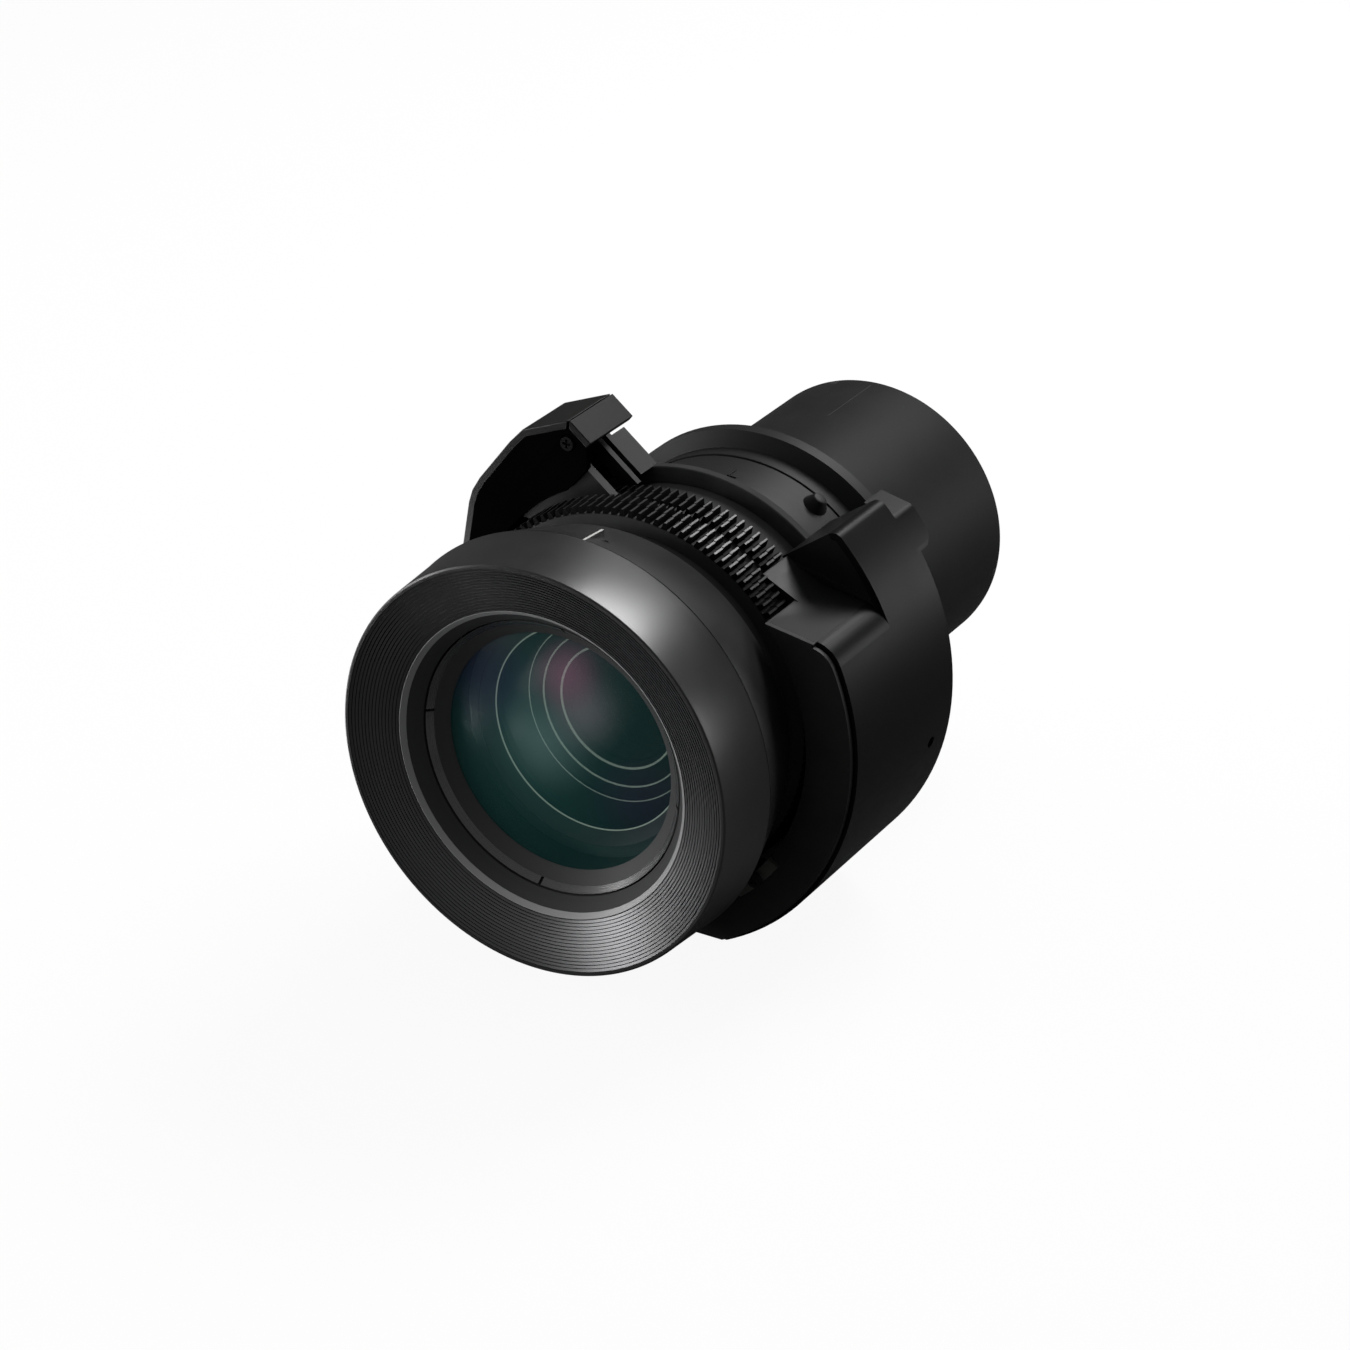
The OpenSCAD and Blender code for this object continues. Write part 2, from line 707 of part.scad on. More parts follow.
// Two staggered rows of teeth on a hub with a groove for the follower pins
module toothed_ring(count, teeth_y, face, hub_y, hub_end) {
    row = (face - row_slit) / 2;
    web = module_size * (count / 2 - 1.25) - row_slit;
    run = bearing_r + run_gap;
    turned([
        [run, hub_y], [hub_r, hub_y], [hub_r, teeth_y], [web, teeth_y], [web, teeth_y + face],
        [hub_r, teeth_y + face], [hub_r, hub_end], [run, hub_end], [run, hub_end - pin_r],
        [groove_r, hub_end - pin_r], [groove_r, hub_y + pin_r], [run, hub_y + pin_r]
    ]);
    difference() {
        union() {
            plate(teeth_y, teeth_y + row) teeth_outline(count, 0);
            plate(teeth_y + face - row, teeth_y + face) teeth_outline(count, -row_turn_share * 360 / count);
        }
        disc(hub_r, teeth_y - over, teeth_y + face + over);
    }
}

module focus_ring() {
    color([0.13, 0.13, 0.14])
        toothed_ring(focus_teeth, focus_teeth_y, focus_face, focus_hub_y, focus_hub_end);
}

module zoom_ring() {
    color([0.13, 0.13, 0.14])
        toothed_ring(zoom_teeth, zoom_teeth_y, zoom_face, zoom_hub_y, zoom_hub_end);
}

// Three follower pins of a cell
module follower_pins(first, y, foot_r) {
    color([0.7, 0.7, 0.68]) for (i = [0:2]) radial_pin(first + i * third, y, pin_r, foot_r, pin_end_r);
}

// Holes for the feet of the follower pins
module pin_holes(first, y, foot_r) {
    for (i = [0:2]) radial_pin(first + i * third, y, pin_r + fit_gap, foot_r - over, bore_r + over);
}

// Focus group

nose_bore = nose_r - nose_wall;
sleeve_r = cell_r - cell_wall;
lock_r = front_lens_r - cell_wall;

module focus_cell() {
    shoulder = barrel_y + focus_front + free_gap;
    color([0.06, 0.06, 0.06]) difference() {
        turned([
            [nose_bore + fit_gap, ring_y + ring_t], [nose_r, ring_y + ring_t], [nose_r, shoulder],
            [cell_r, shoulder], [cell_r, focus_end_y], [sleeve_r, focus_end_y], [sleeve_r, lock_end_y],
            [front_lens_r + fit_gap, lock_end_y], [front_lens_r + fit_gap, front_edge_y],
            [nose_bore + fit_gap, front_edge_y]
        ]);
        pin_holes(focus_pin_angle, focus_pin_y, sleeve_r);
    }
}

module focus_pins() {
    follower_pins(focus_pin_angle, focus_pin_y, sleeve_r);
}

module retaining_ring() {
    notch_w = ring_t / 2;
    color([0.35, 0.35, 0.36]) difference() {
        turned([
            [nose_r - fit_gap, ring_y], [nose_r, ring_y + fit_gap], [nose_r, ring_y + ring_t],
            [nose_bore, ring_y + ring_t], [nose_bore, ring_y + ring_t + nose_wall],
            [ring_in_r, ring_y + ring_t + nose_wall], [ring_in_r, ring_y + ring_t]
        ]);
        for (i = [0:3])
            radial_box(
                ring_notch_angle + i * quarter, ring_y - over, ring_y + ring_t + nose_wall / 2, notch_w, ring_in_r - over, nose_r + over
            );
    }
}

module front_bezel() {
    top_y = ring_y + ring_t;
    color([0.1, 0.1, 0.1]) turned([
        [ring_in_r - fit_gap, top_y], [ring_in_r - fit_gap, top_y + nose_wall],
        [nose_bore, top_y + nose_wall], [nose_bore, front_edge_y], [front_lens_r, front_edge_y - fit_gap],
        [glass_r, glass_y - fit_gap], [glass_r, glass_y - 4 * fit_gap]
    ]);
}

module front_lens() {
    color([0.4, 0.6, 0.6]) difference() {
        intersection() {
            disc(front_lens_r, front_vertex - over, spacer_y);
            ball_behind(front_curve, front_vertex);
        }
        ball_behind(hollow_curve, front_vertex + front_t);
    }
}

module front_spacer() {
    opening_y = spacer_y + (front_lens_r - spacer_w - spacer_r);
    rest = sag(second_curve, front_lens_r) - sag(second_curve, spacer_r);
    color([0.3, 0.3, 0.3]) turned([
        [front_lens_r - spacer_w, spacer_y], [front_lens_r, spacer_y], [front_lens_r, second_y - fit_gap],
        [spacer_r, second_y - rest - free_gap], [spacer_r, min(opening_y, second_y - rest - 2 * free_gap)]
    ]);
}

module second_lens() {
    color([0.4, 0.6, 0.6]) intersection() {
        disc(front_lens_r, second_y - sag(second_curve, front_lens_r) - over, second_end_y);
        ball_behind(second_curve, second_y - sag(second_curve, front_lens_r));
    }
}

module focus_lock_ring() {
    color([0.08, 0.08, 0.08]) ring(front_lens_r, lock_r, second_end_y, lock_end_y);
}

// Variator

variator_front_y = variator_y + 3 * cell_wall;
variator_back_y = variator_front_y + variator_t;
nose_out_r = sleeve_r - free_gap;
nose_in_r = nose_out_r - cell_wall;

module variator_cell() {
    core_r = variator_lens_r + cell_wall;
    lip_r = variator_lens_r - cell_wall;
    bevel = (variator_front_y - variator_y) / 5;
    mid_r = (variator_r + variator_lens_r) / 2 + bevel / 2;
    color([0.1, 0.1, 0.1]) difference() {
        turned([
            [variator_r, variator_y], [nose_out_r, variator_y], [nose_out_r, band_y], [cell_r, band_y],
            [cell_r, band_y + band_len], [nose_in_r, band_y + band_len],
            [nose_in_r, variator_front_y + 2 * bevel], [core_r, variator_front_y + 2 * bevel],
            [core_r, variator_back_y + cell_wall], [variator_lens_r + fit_gap, variator_back_y + cell_wall],
            [variator_lens_r + fit_gap, variator_front_y], [lip_r, variator_front_y],
            [lip_r, variator_front_y - bevel], [lip_r + bevel, variator_front_y - 1.4 * bevel],
            [mid_r, variator_front_y - 2 * bevel], [mid_r, variator_front_y - 3 * bevel],
            [variator_r, variator_front_y - 4 * bevel]
        ]);
        pin_holes(0, variator_pin_y, nose_in_r);
    }
}

module variator_pins() {
    follower_pins(0, variator_pin_y, nose_in_r);
}

module variator_lens() {
    color([0.5, 0.6, 0.5]) difference() {
        disc(variator_lens_r, variator_front_y, variator_back_y);
        ball_before(variator_curve, variator_front_y + sag(variator_curve, variator_lens_r - cell_wall));
        ball_behind(variator_curve, variator_back_y - sag(variator_curve, variator_lens_r - cell_wall));
    }
}

module variator_retainer() {
    color([0.08, 0.08, 0.08])
        ring(variator_lens_r, variator_lens_r - cell_wall, variator_back_y, variator_back_y + cell_wall);
}

// Compensator

compensator_front_y = compensator_y + compensator_len / 2;
compensator_back_y = compensator_front_y + compensator_t;

module compensator_cell() {
    core_r = compensator_lens_r + cell_wall;
    lip_r = compensator_lens_r - cell_wall;
    floor_y = compensator_front_y - cell_wall;
    color([0.1, 0.1, 0.1]) difference() {
        turned([
            [sleeve_r, compensator_y], [cell_r, compensator_y], [cell_r, compensator_y + compensator_len],
            [sleeve_r, compensator_y + compensator_len], [sleeve_r, compensator_front_y],
            [core_r, compensator_front_y], [core_r, compensator_back_y + cell_wall],
            [compensator_lens_r + fit_gap, compensator_back_y + cell_wall],
            [compensator_lens_r + fit_gap, compensator_front_y], [lip_r, compensator_front_y],
            [lip_r, floor_y], [sleeve_r, floor_y]
        ]);
        pin_holes(focus_pin_angle, compensator_pin_y, sleeve_r);
    }
}

module compensator_pins() {
    follower_pins(focus_pin_angle, compensator_pin_y, sleeve_r);
}

module compensator_lens() {
    lip = sag(compensator_curve, compensator_lens_r - cell_wall);
    color([0.5, 0.6, 0.5]) intersection() {
        disc(compensator_lens_r, compensator_front_y - lip - over, compensator_back_y + lip + over);
        ball_behind(compensator_curve, compensator_front_y - lip + fit_gap);
        ball_before(compensator_curve, compensator_back_y + lip - fit_gap);
    }
}

module compensator_retainer() {
    color([0.08, 0.08, 0.08]) ring(
        compensator_lens_r, compensator_lens_r - cell_wall, compensator_back_y, compensator_back_y + cell_wall
    );
}

// Outlines of the right cover: a circle and a sloping line with a rounded corner between them

// Place along the line, and angle round the axis, of the centre of a rounded corner
function roll_t(d, roll) = sqrt(pow(cover_r - roll, 2) - pow(d - roll, 2));
function roll_angle(angle, d, roll) = angle + atan2(roll_t(d, roll), d - roll);

module wing(angle, d, roll, inset) {
    intersection() {
        circle(r = cover_r - inset, $fn = round_fn);
        below(angle, d - inset);
        below(180, bottom_z - inset);
        union() {
            below(angle + 90, roll_t(d, roll));
            below(roll_angle(angle, d, roll) - 90, 0);
            if (roll > inset)
                rotate(-angle) translate([roll_t(d, roll), d - roll]) circle(r = roll - inset, $fn = small_fn);
        }
    }
}

// Wall along a wing's outline
module wing_wall(angle, d, roll, wall) {
    difference() {
        wing(angle, d, roll, 0);
        wing(angle, d, roll, wall);
    }
}

// Region of a wing's sloping line, in front of its rounded corner
module slope_side(angle, d, roll, gap) {
    difference() {
        below(angle + 90, roll_t(d, roll) - gap);
        below(roll_angle(angle, d, roll) - 90, 0);
    }
}

// Half of the section right of the axis
module right_half() {
    below(-90, -fit_gap);
}

module right_skin(angle, d, roll) {
    difference() {
        intersection() {
            wing_wall(angle, d, roll, cover_t);
            right_half();
        }
        slope_side(angle, d, roll, 0);
    }
}

module right_cover() {
    back_y = ridge_end_y - cover_t;
    color([0.1, 0.1, 0.11]) difference() {
        union() {
            plate(cover_y, wall_y) right_skin(shelf_angle, shelf_d, shelf_roll);
            plate(wall_y, ridge_end_y) right_skin(ridge_angle, ridge_d, ridge_roll);
            plate(ridge_end_y, cover_end_y) intersection() {
                right_skin(ridge_angle, ridge_d, ridge_roll);
                sector(tab_end_angle, 180 + over);
            }
            plate(back_y, ridge_end_y) difference() {
                intersection() {
                    wing(ridge_angle, ridge_d, ridge_roll, 0);
                    right_half();
                }
                circle(r = tube_r + free_gap, $fn = round_fn);
                intersection() {
                    slope_side(ridge_angle, ridge_d, ridge_roll, 0);
                    wing_wall(ridge_angle, ridge_d, ridge_roll, cover_t);
                }
            }
        }
        radial_pin(hole_angle, hole_y, hole_r, cover_r - cover_t - over, cover_r + over);
    }
}

// Sloping shelf, dark wall and end wall beside the toothed rings
module right_inner_frame() {
    lip_share = [
        [0.477, 0.568], [0.488, 0.578], [0.515, 0.562], [0.640, 0.500], [0.640, 0.470], [0.500, 0.470]
    ];
    shelf_end = roll_t(shelf_d, shelf_roll);
    color([0.06, 0.06, 0.06]) {
        plate(plate_y, wall_y) difference() {
            intersection() {
                wing_wall(shelf_angle, shelf_d, shelf_roll, cover_t);
                slope_side(shelf_angle, shelf_d, shelf_roll, fit_gap);
                right_half();
            }
            circle(r = plate_r, $fn = round_fn);
        }
        plate(step_y, wall_y) difference() {
            polygon(lip_share * cover_r);
            circle(r = inner_r, $fn = round_fn);
        }
        plate(wall_y, wall_y + cover_t) difference() {
            union() {
                wing(ridge_angle, ridge_d, ridge_roll, cover_t + fit_gap);
                intersection() {
                    wing(ridge_angle, ridge_d, ridge_roll, 0);
                    slope_side(ridge_angle, ridge_d, ridge_roll, fit_gap);
                }
            }
            below(shelf_angle, shelf_d - cover_t);
            circle(r = inner_r, $fn = round_fn);
        }
        plate(wall_y - wall_rib, wall_y) intersection() {
            difference() {
                below(rib_angle, wall_rib_d + wall_rib / 2);
                below(rib_angle, wall_rib_d - wall_rib / 2);
            }
            difference() {
                wing(ridge_angle, ridge_d, ridge_roll, cover_t + fit_gap);
                circle(r = inner_r, $fn = round_fn);
            }
        }
        plate(wall_y + cover_t, ridge_end_y) intersection() {
            difference() {
                wing_wall(ridge_angle, ridge_d, ridge_roll, cover_t - fit_gap);
                circle(r = disc_r + free_gap, $fn = round_fn);
            }
            slope_side(ridge_angle, ridge_d, ridge_roll, fit_gap);
            right_half();
            below(-90, 0);
        }
    }
}

module right_front_plate() {
    color([0.03, 0.03, 0.03]) difference() {
        plate(plate_y - plate_t, plate_y) difference() {
            intersection() {
                union() {
                    wing(shelf_angle, shelf_d, shelf_roll, plate_inset);
                    intersection() {
                        wing(shelf_angle, shelf_d, shelf_roll, 0);
                        slope_side(shelf_angle, shelf_d, shelf_roll, 0);
                    }
                }
                below(-90, plate_r / 2);
            }
            circle(r = plate_r, $fn = round_fn);
            below(90, 0);
        }
        at_angle(stop_angle)
            bar(small_screw_r + fit_gap, plate_y - plate_t - over, plate_y + over, 0, plate_r + stop_w / 2);
    }
}

module right_tab() {
    corner = tab_len / 2;
    end_y = ridge_end_y + tab_len;
    side_angle = tab_end_angle - corner / cover_r * 180 / PI;
    color([0.1, 0.1, 0.11]) difference() {
        plate(ridge_end_y, end_y) intersection() {
            difference() {
                wing(tab_angle, tab_d, ridge_roll, 0);
                wing(tab_angle, tab_d, ridge_roll, tab_t);
            }
            sector(tab_angle + 29, tab_end_angle);
        }
        difference() {
            radial_box(side_angle + 2.3 * corner / cover_r * 180 / PI, end_y - corner, end_y + over, 4.6 * corner, cover_r - 2 * tab_t, cover_r + over);
            radial_pin(side_angle, end_y - corner, corner, cover_r - 3 * tab_t, cover_r + 2 * over);
        }
    }
}

module stop_bracket() {
    half = stop_len / (plate_r + stop_w) * 90 / PI;
    front_y = plate_y - plate_t;
    color([0.55, 0.55, 0.52]) difference() {
        plate(front_y - stop_plate_t, front_y) intersection() {
            difference() {
                circle(r = plate_r + stop_w, $fn = round_fn);
                circle(r = plate_r - fit_gap, $fn = round_fn);
            }
            sector(stop_angle - half, stop_angle + half);
        }
        at_angle(stop_angle) bar(small_screw_r + fit_gap, front_y - stop_plate_t - over, front_y + over, 0, plate_r + stop_w / 2);
    }
}

module stop_screw() {
    head_h = 1.4 * small_screw_r;
    color([0.4, 0.4, 0.4]) at_angle(stop_angle)
        axial_screw(
            small_screw_r, plate_y - plate_t - stop_plate_t - head_h, head_h + stop_plate_t + plate_t,
            0, plate_r + stop_w / 2, 1
        );
}

// Left cover: its outline starts at the bottom and ends at the cap's free edge

left_top_share = [
    [-0.844, 0.380], [-0.813, 0.561], [-0.796, 0.615], [-0.762, 0.672], [-0.714, 0.733], [-0.622, 0.853],
    [-0.565, 0.914], [-0.362, 0.995]
];
cap_start_share = [-0.353, 0.998];
inner_edge_share = [[-0.279, 0.815], [-0.400, 0.676]];
well_share = [-0.363, 0.905];

cap_start = cap_start_share * cover_r;
cap_end = cap_start + cap_len * [cos(cap_angle), -sin(cap_angle)];
left_line = concat(
    [[-fit_gap, -bottom_z], [corner_w - left_w, -bottom_z], [-left_w, corner_h - bottom_z]],
    [for (p = left_top_share) p * cover_r]
);

// Unit normal that points into the outline
function edge_normal(a, b) = [b[1] - a[1], a[0] - b[0]] / norm(b - a);

// Moves an open outline inwards, with mitred corners
function moved_in(p, d) = [
    for (i = [0:len(p) - 1])
        let (
            before = edge_normal(p[max(i - 1, 0)], p[max(i, 1)]),
            after = edge_normal(p[min(i, len(p) - 2)], p[min(i + 1, len(p) - 1)])
        )
        p[i] + d * (before + after) / (1 + before * after)
];

function reversed(p) = [for (i = [len(p) - 1:-1:0]) p[i]];

module left_skin() {
    last = len(left_line) - 1;
    inner = moved_in(concat(left_line, [left_line[last] + cap_end - cap_start]), cover_t);
    polygon(concat([for (i = [0:last]) inner[i]], reversed(left_line)));
}

// Space inside the left cover and under its cap
module left_space(inset) {
    intersection() {
        polygon(reversed(concat(
            moved_in(left_line, inset),
            [moved_in([cap_start, cap_end], inset)[1]],
            inner_edge_share * cover_r,
            [[-fit_gap, 0]]
        )));
        below(cap_angle, cap_start * [sin(cap_angle), cos(cap_angle)] - inset);
    }
}

module left_cover() {
    back_y = left_end_y - cover_t;
    color([0.1, 0.1, 0.11]) {
        plate(left_y, left_end_y) left_skin();
        plate(left_end_y, cover_end_y) intersection() {
            left_skin();
            below(0, left_step_z);
        }
        plate(back_y, left_end_y) intersection() {
            difference() {
                left_space(cover_t / 2);
                circle(r = disc_r + free_gap, $fn = round_fn);
                below(0, left_step_z - cover_t);
            }
            below(90, cap_start[0] - cover_t);
        }
        plate(left_end_y, ridge_end_y) difference() {
            intersection() {
                left_space(cover_t / 2);
                below(0, left_step_z);
            }
            below(0, left_step_z - cover_t);
            circle(r = disc_r + free_gap, $fn = round_fn);
        }
        plate(ridge_end_y - cover_t, ridge_end_y) difference() {
            intersection() {
                left_space(cover_t / 2);
                below(0, left_step_z);
            }
            circle(r = tube_r + free_gap, $fn = round_fn);
        }
    }
}

module left_end_cap() {
    last = len(left_line) - 1;
    inner = moved_in([cap_start + left_line[last - 1] - left_line[last], cap_start, cap_end], cover_t);
    color([0.2, 0.2, 0.21]) plate(left_y, left_end_y)
        polygon([inner[1], inner[2], cap_end, cap_start]);
}

module left_front_plate() {
    place = well_share * cover_r;
    color([0.03, 0.03, 0.03]) difference() {
        plate(left_y, left_y + left_plate_t) difference() {
            left_space(cover_t + fit_gap);
            circle(r = plate_r, $fn = round_fn);
        }
        bar(well_r, left_y - over, left_y + well_depth, place[0], place[1]);
        bar(small_screw_r + fit_gap, left_y - over, left_end_y, place[0], place[1]);
    }
}

module left_plate_screw() {
    place = well_share * cover_r;
    color([0.1, 0.1, 0.1]) axial_screw(
        small_screw_r, left_y + well_depth - small_screw_r * 1.4,
        small_screw_r * 1.4 + left_plate_t, place[0], place[1], 1
    );
}

// Web inside the left cover's upper part with a sloping top
module left_web(d, inside_r) {
    difference() {
        intersection() {
            left_space(cover_t + fit_gap);
            below(cap_angle, d);
        }
        below(0, left_step_z);
        circle(r = inside_r, $fn = round_fn);
    }
}

// Block, rail and guide plate: a web that fills the cover, and a sloping top that sticks out of it
module left_slope(d, wall, inside_r, start_share, y0, y1) {
    plate(y0, y1) difference() {
        intersection() {
            below(cap_angle, d);
            below(-90, -cap_start[0] * start_share);
        }
        below(cap_angle, d - wall);
        circle(r = inside_r, $fn = round_fn);
        below(0, 0);
        below(-cap_angle, 0);
    }
}

module left_block() {
    web_y = left_y + left_plate_t;
    color([0.16, 0.16, 0.17]) {
        plate(web_y, web_y + block_len) left_web(block_d, inner_r);
        left_slope(block_d, 6 * cover_t, inner_r, 1.2, web_y, web_y + block_len);
    }
}

module left_rail() {
    color([0.14, 0.14, 0.15]) {
        plate(rail_y, rail_y + rail_t) left_web(rail_d, inner_r);
        left_slope(rail_d, 2 * cover_t, inner_r, 0.95, rail_y, rail_y + rail_t);
    }
}

// Closes the gap between the guide plate's web and its sloping top
module guide_filler(inside_r) {
    difference() {
        intersection() {
            below(cap_angle, guide_d);
            below(-90, -cap_start[0] * 1.2);
            below(90, cap_start[0] * 0.87);
        }
        circle(r = inside_r, $fn = round_fn);
        below(0, left_step_z);
        below(-cap_angle, 0);
    }
}

module left_guide_plate() {
    inside_r = disc_r + 2 * fit_gap;
    color([0.2, 0.2, 0.21]) {
        plate(guide_y, guide_y + guide_t) {
            left_web(guide_d, inside_r);
            guide_filler(inside_r);
        }
        left_slope(guide_d, guide_t, inside_r, 0.95, guide_y, guide_y + guide_len);
    }
}

// Bracket that carries both covers behind the disc

module cover_bracket() {
    color([0.1, 0.1, 0.1]) difference() {
        plate(disc_end_y, bracket_end_y) difference() {
            union() {
                intersection() {
                    wing(ridge_angle, ridge_d, ridge_roll, cover_t + fit_gap);
                    right_half();
                }
                intersection() {
                    left_space(cover_t + fit_gap);
                    below(0, left_step_z - cover_t - fit_gap);
                }
                intersection() {
                    circle(r = disc_r, $fn = round_fn);
                    below(0, 0);
                }
            }
            circle(r = tube_r + fit_gap, $fn = round_fn);
        }
        for (a = bracket_screw_angles)
            at_angle(a) bar(small_screw_r + fit_gap, disc_end_y - over, bracket_end_y + over, 0, bracket_screw_r);
    }
}

module bracket_screws() {
    head_h = 1.4 * small_screw_r;
    color([0.4, 0.4, 0.4])
        for (a = bracket_screw_angles) at_angle(a)
            axial_screw(small_screw_r, bracket_end_y + head_h, head_h + bracket_t + disc_t / 2, 0, bracket_screw_r, -1);
}

main_barrel();
guide_pins();
mount_flange();
flange_screws();
rear_barrel();
stop_plate();
rear_cell();
rear_lens();
rear_retainer();
hood_shell();
index_mark();
hood_screws();
front_baffle();
hood_inner_ring();
focus_ring();
focus_cell();
focus_pins();
retaining_ring();
front_bezel();
front_lens();
front_spacer();
second_lens();
focus_lock_ring();
zoom_ring();
variator_cell();
variator_pins();
variator_lens();
variator_retainer();
compensator_cell();
compensator_pins();
compensator_lens();
compensator_retainer();
cover_bracket();
bracket_screws();
right_cover();
right_front_plate();
right_inner_frame();
right_tab();
left_cover();
left_front_plate();
left_end_cap();
left_plate_screw();
left_block();
left_rail();
left_guide_plate();
stop_bracket();
stop_screw();
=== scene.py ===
"""Dresses the projection lens: turned metal, moulded covers, toothed rings, coated glass, lamps, camera."""
import logging
import math
from dataclasses import dataclass
from enum import Enum
from functools import partial

import bmesh
import bpy
from mathutils import Matrix, Vector


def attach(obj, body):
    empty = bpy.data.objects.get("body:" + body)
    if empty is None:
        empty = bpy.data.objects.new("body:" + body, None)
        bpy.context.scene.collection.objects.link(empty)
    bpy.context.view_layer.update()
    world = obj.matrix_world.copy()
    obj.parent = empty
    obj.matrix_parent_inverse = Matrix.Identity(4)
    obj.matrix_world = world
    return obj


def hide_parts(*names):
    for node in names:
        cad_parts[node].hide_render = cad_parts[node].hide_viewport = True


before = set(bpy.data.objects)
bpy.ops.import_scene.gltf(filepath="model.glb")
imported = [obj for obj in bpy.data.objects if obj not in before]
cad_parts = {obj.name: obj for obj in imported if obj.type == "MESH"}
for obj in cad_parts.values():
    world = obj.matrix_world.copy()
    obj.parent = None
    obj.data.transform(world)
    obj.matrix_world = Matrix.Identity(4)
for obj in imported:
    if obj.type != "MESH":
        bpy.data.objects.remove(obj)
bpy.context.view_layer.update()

LOG = logging.getLogger("projection_lens")
MM = 0.001
FULL_TURN = 2 * math.pi
# A third of a turn in degrees, for what stands three times round the axis
THIRD_TURN = 120
# Distances behind the front rim, in mm: the flange's rear seat and the fixed tube's front end
SEAT_Y = 118.6
TUBE_FRONT_Y = 13.5
# Gap that keeps neighbouring surfaces apart, in mm
LAP = 0.02
# Faces round the axis, and points across a lens surface
ROUND_STEPS = 256
DOME_STEPS = 20
# Distances in metres within which corners are joined, or lie on a cutting plane
MERGE = 1e-7
CAD_MERGE = 2e-6
ON_PLANE = 1e-8
# Angles in degrees: faces that count as flat, edges that get rounded, edges that stay sharp
FLAT_ANGLE = 1.0
ROUNDED_ANGLE = 30.0
SHARP_ANGLE = 32.0
SHARP_DETAIL = 25.0
SHARP_STEP = 20.0
# Values that most of a noise lies between, and those between which a colour changes
NOISE_LOW = 0.3
NOISE_HIGH = 0.7
CLOUD_LOW = 0.35
CLOUD_HIGH = 0.65
# Grains per metre of the wide noises, and the number and weight of each noise's finer layers
CLOUD_SCALE = 45.0
CLOUD_LAYERS = 4.0
CLOUD_WEIGHT = 0.55
HAZE_SCALE = 60.0
HAZE_LAYERS = 3.0
GRAIN_LAYERS = 3.0
GRAIN_WEIGHT = 0.6
RELIEF_STRENGTH = 0.6
# Sockets of a colour mix, by number: its share, its two colours and its result
MIX_SHARE = 0
MIX_FIRST = 6
MIX_SECOND = 7
MIX_RESULT = 2
WHITE = (1.0, 1.0, 1.0, 1.0)

Outline = list[tuple[float, float]]
Profile = tuple[tuple[float, float], ...]
Triple = tuple[float, float, float]
BMesh = bmesh.types.BMesh
Object = bpy.types.Object
Socket = bpy.types.NodeSocket


def placed(name: str, data: bpy.types.ID) -> Object:
    """Makes an object of its data and links it to the scene.

    Args:
        name: the object's name.
        data: its mesh, lamp or camera.

    Returns:
        The object.
    """
    made = bpy.data.objects.new(name, data)
    bpy.context.scene.collection.objects.link(made)
    return made


class Body(Enum):
    """The CAD bodies that made pieces ride on."""

    BARREL = "barrel"
    FOCUS_RING = "focus_ring"
    ZOOM_RING = "zoom_ring"
    FOCUS_GROUP = "focus_group"
    VARIATOR = "variator"


class Slot(Enum):
    """The record's material slots."""

    BLACK_METAL = "black_metal"
    MATT_BLACK = "matt_black"
    BAFFLE_METAL = "baffle_metal"
    SATIN_PLASTIC = "satin_plastic"
    GLOSS_PLASTIC = "gloss_plastic"
    GEAR_PLASTIC = "gear_plastic"
    COATED_GLASS = "coated_glass"
    BRIGHT_RING = "bright_ring"
    GREY_METAL = "grey_metal"
    DARK_STEEL = "dark_steel"


class Grain(Enum):
    """How the fine relief of a surface runs."""

    MOULDED = "moulded"
    TURNED = "turned"


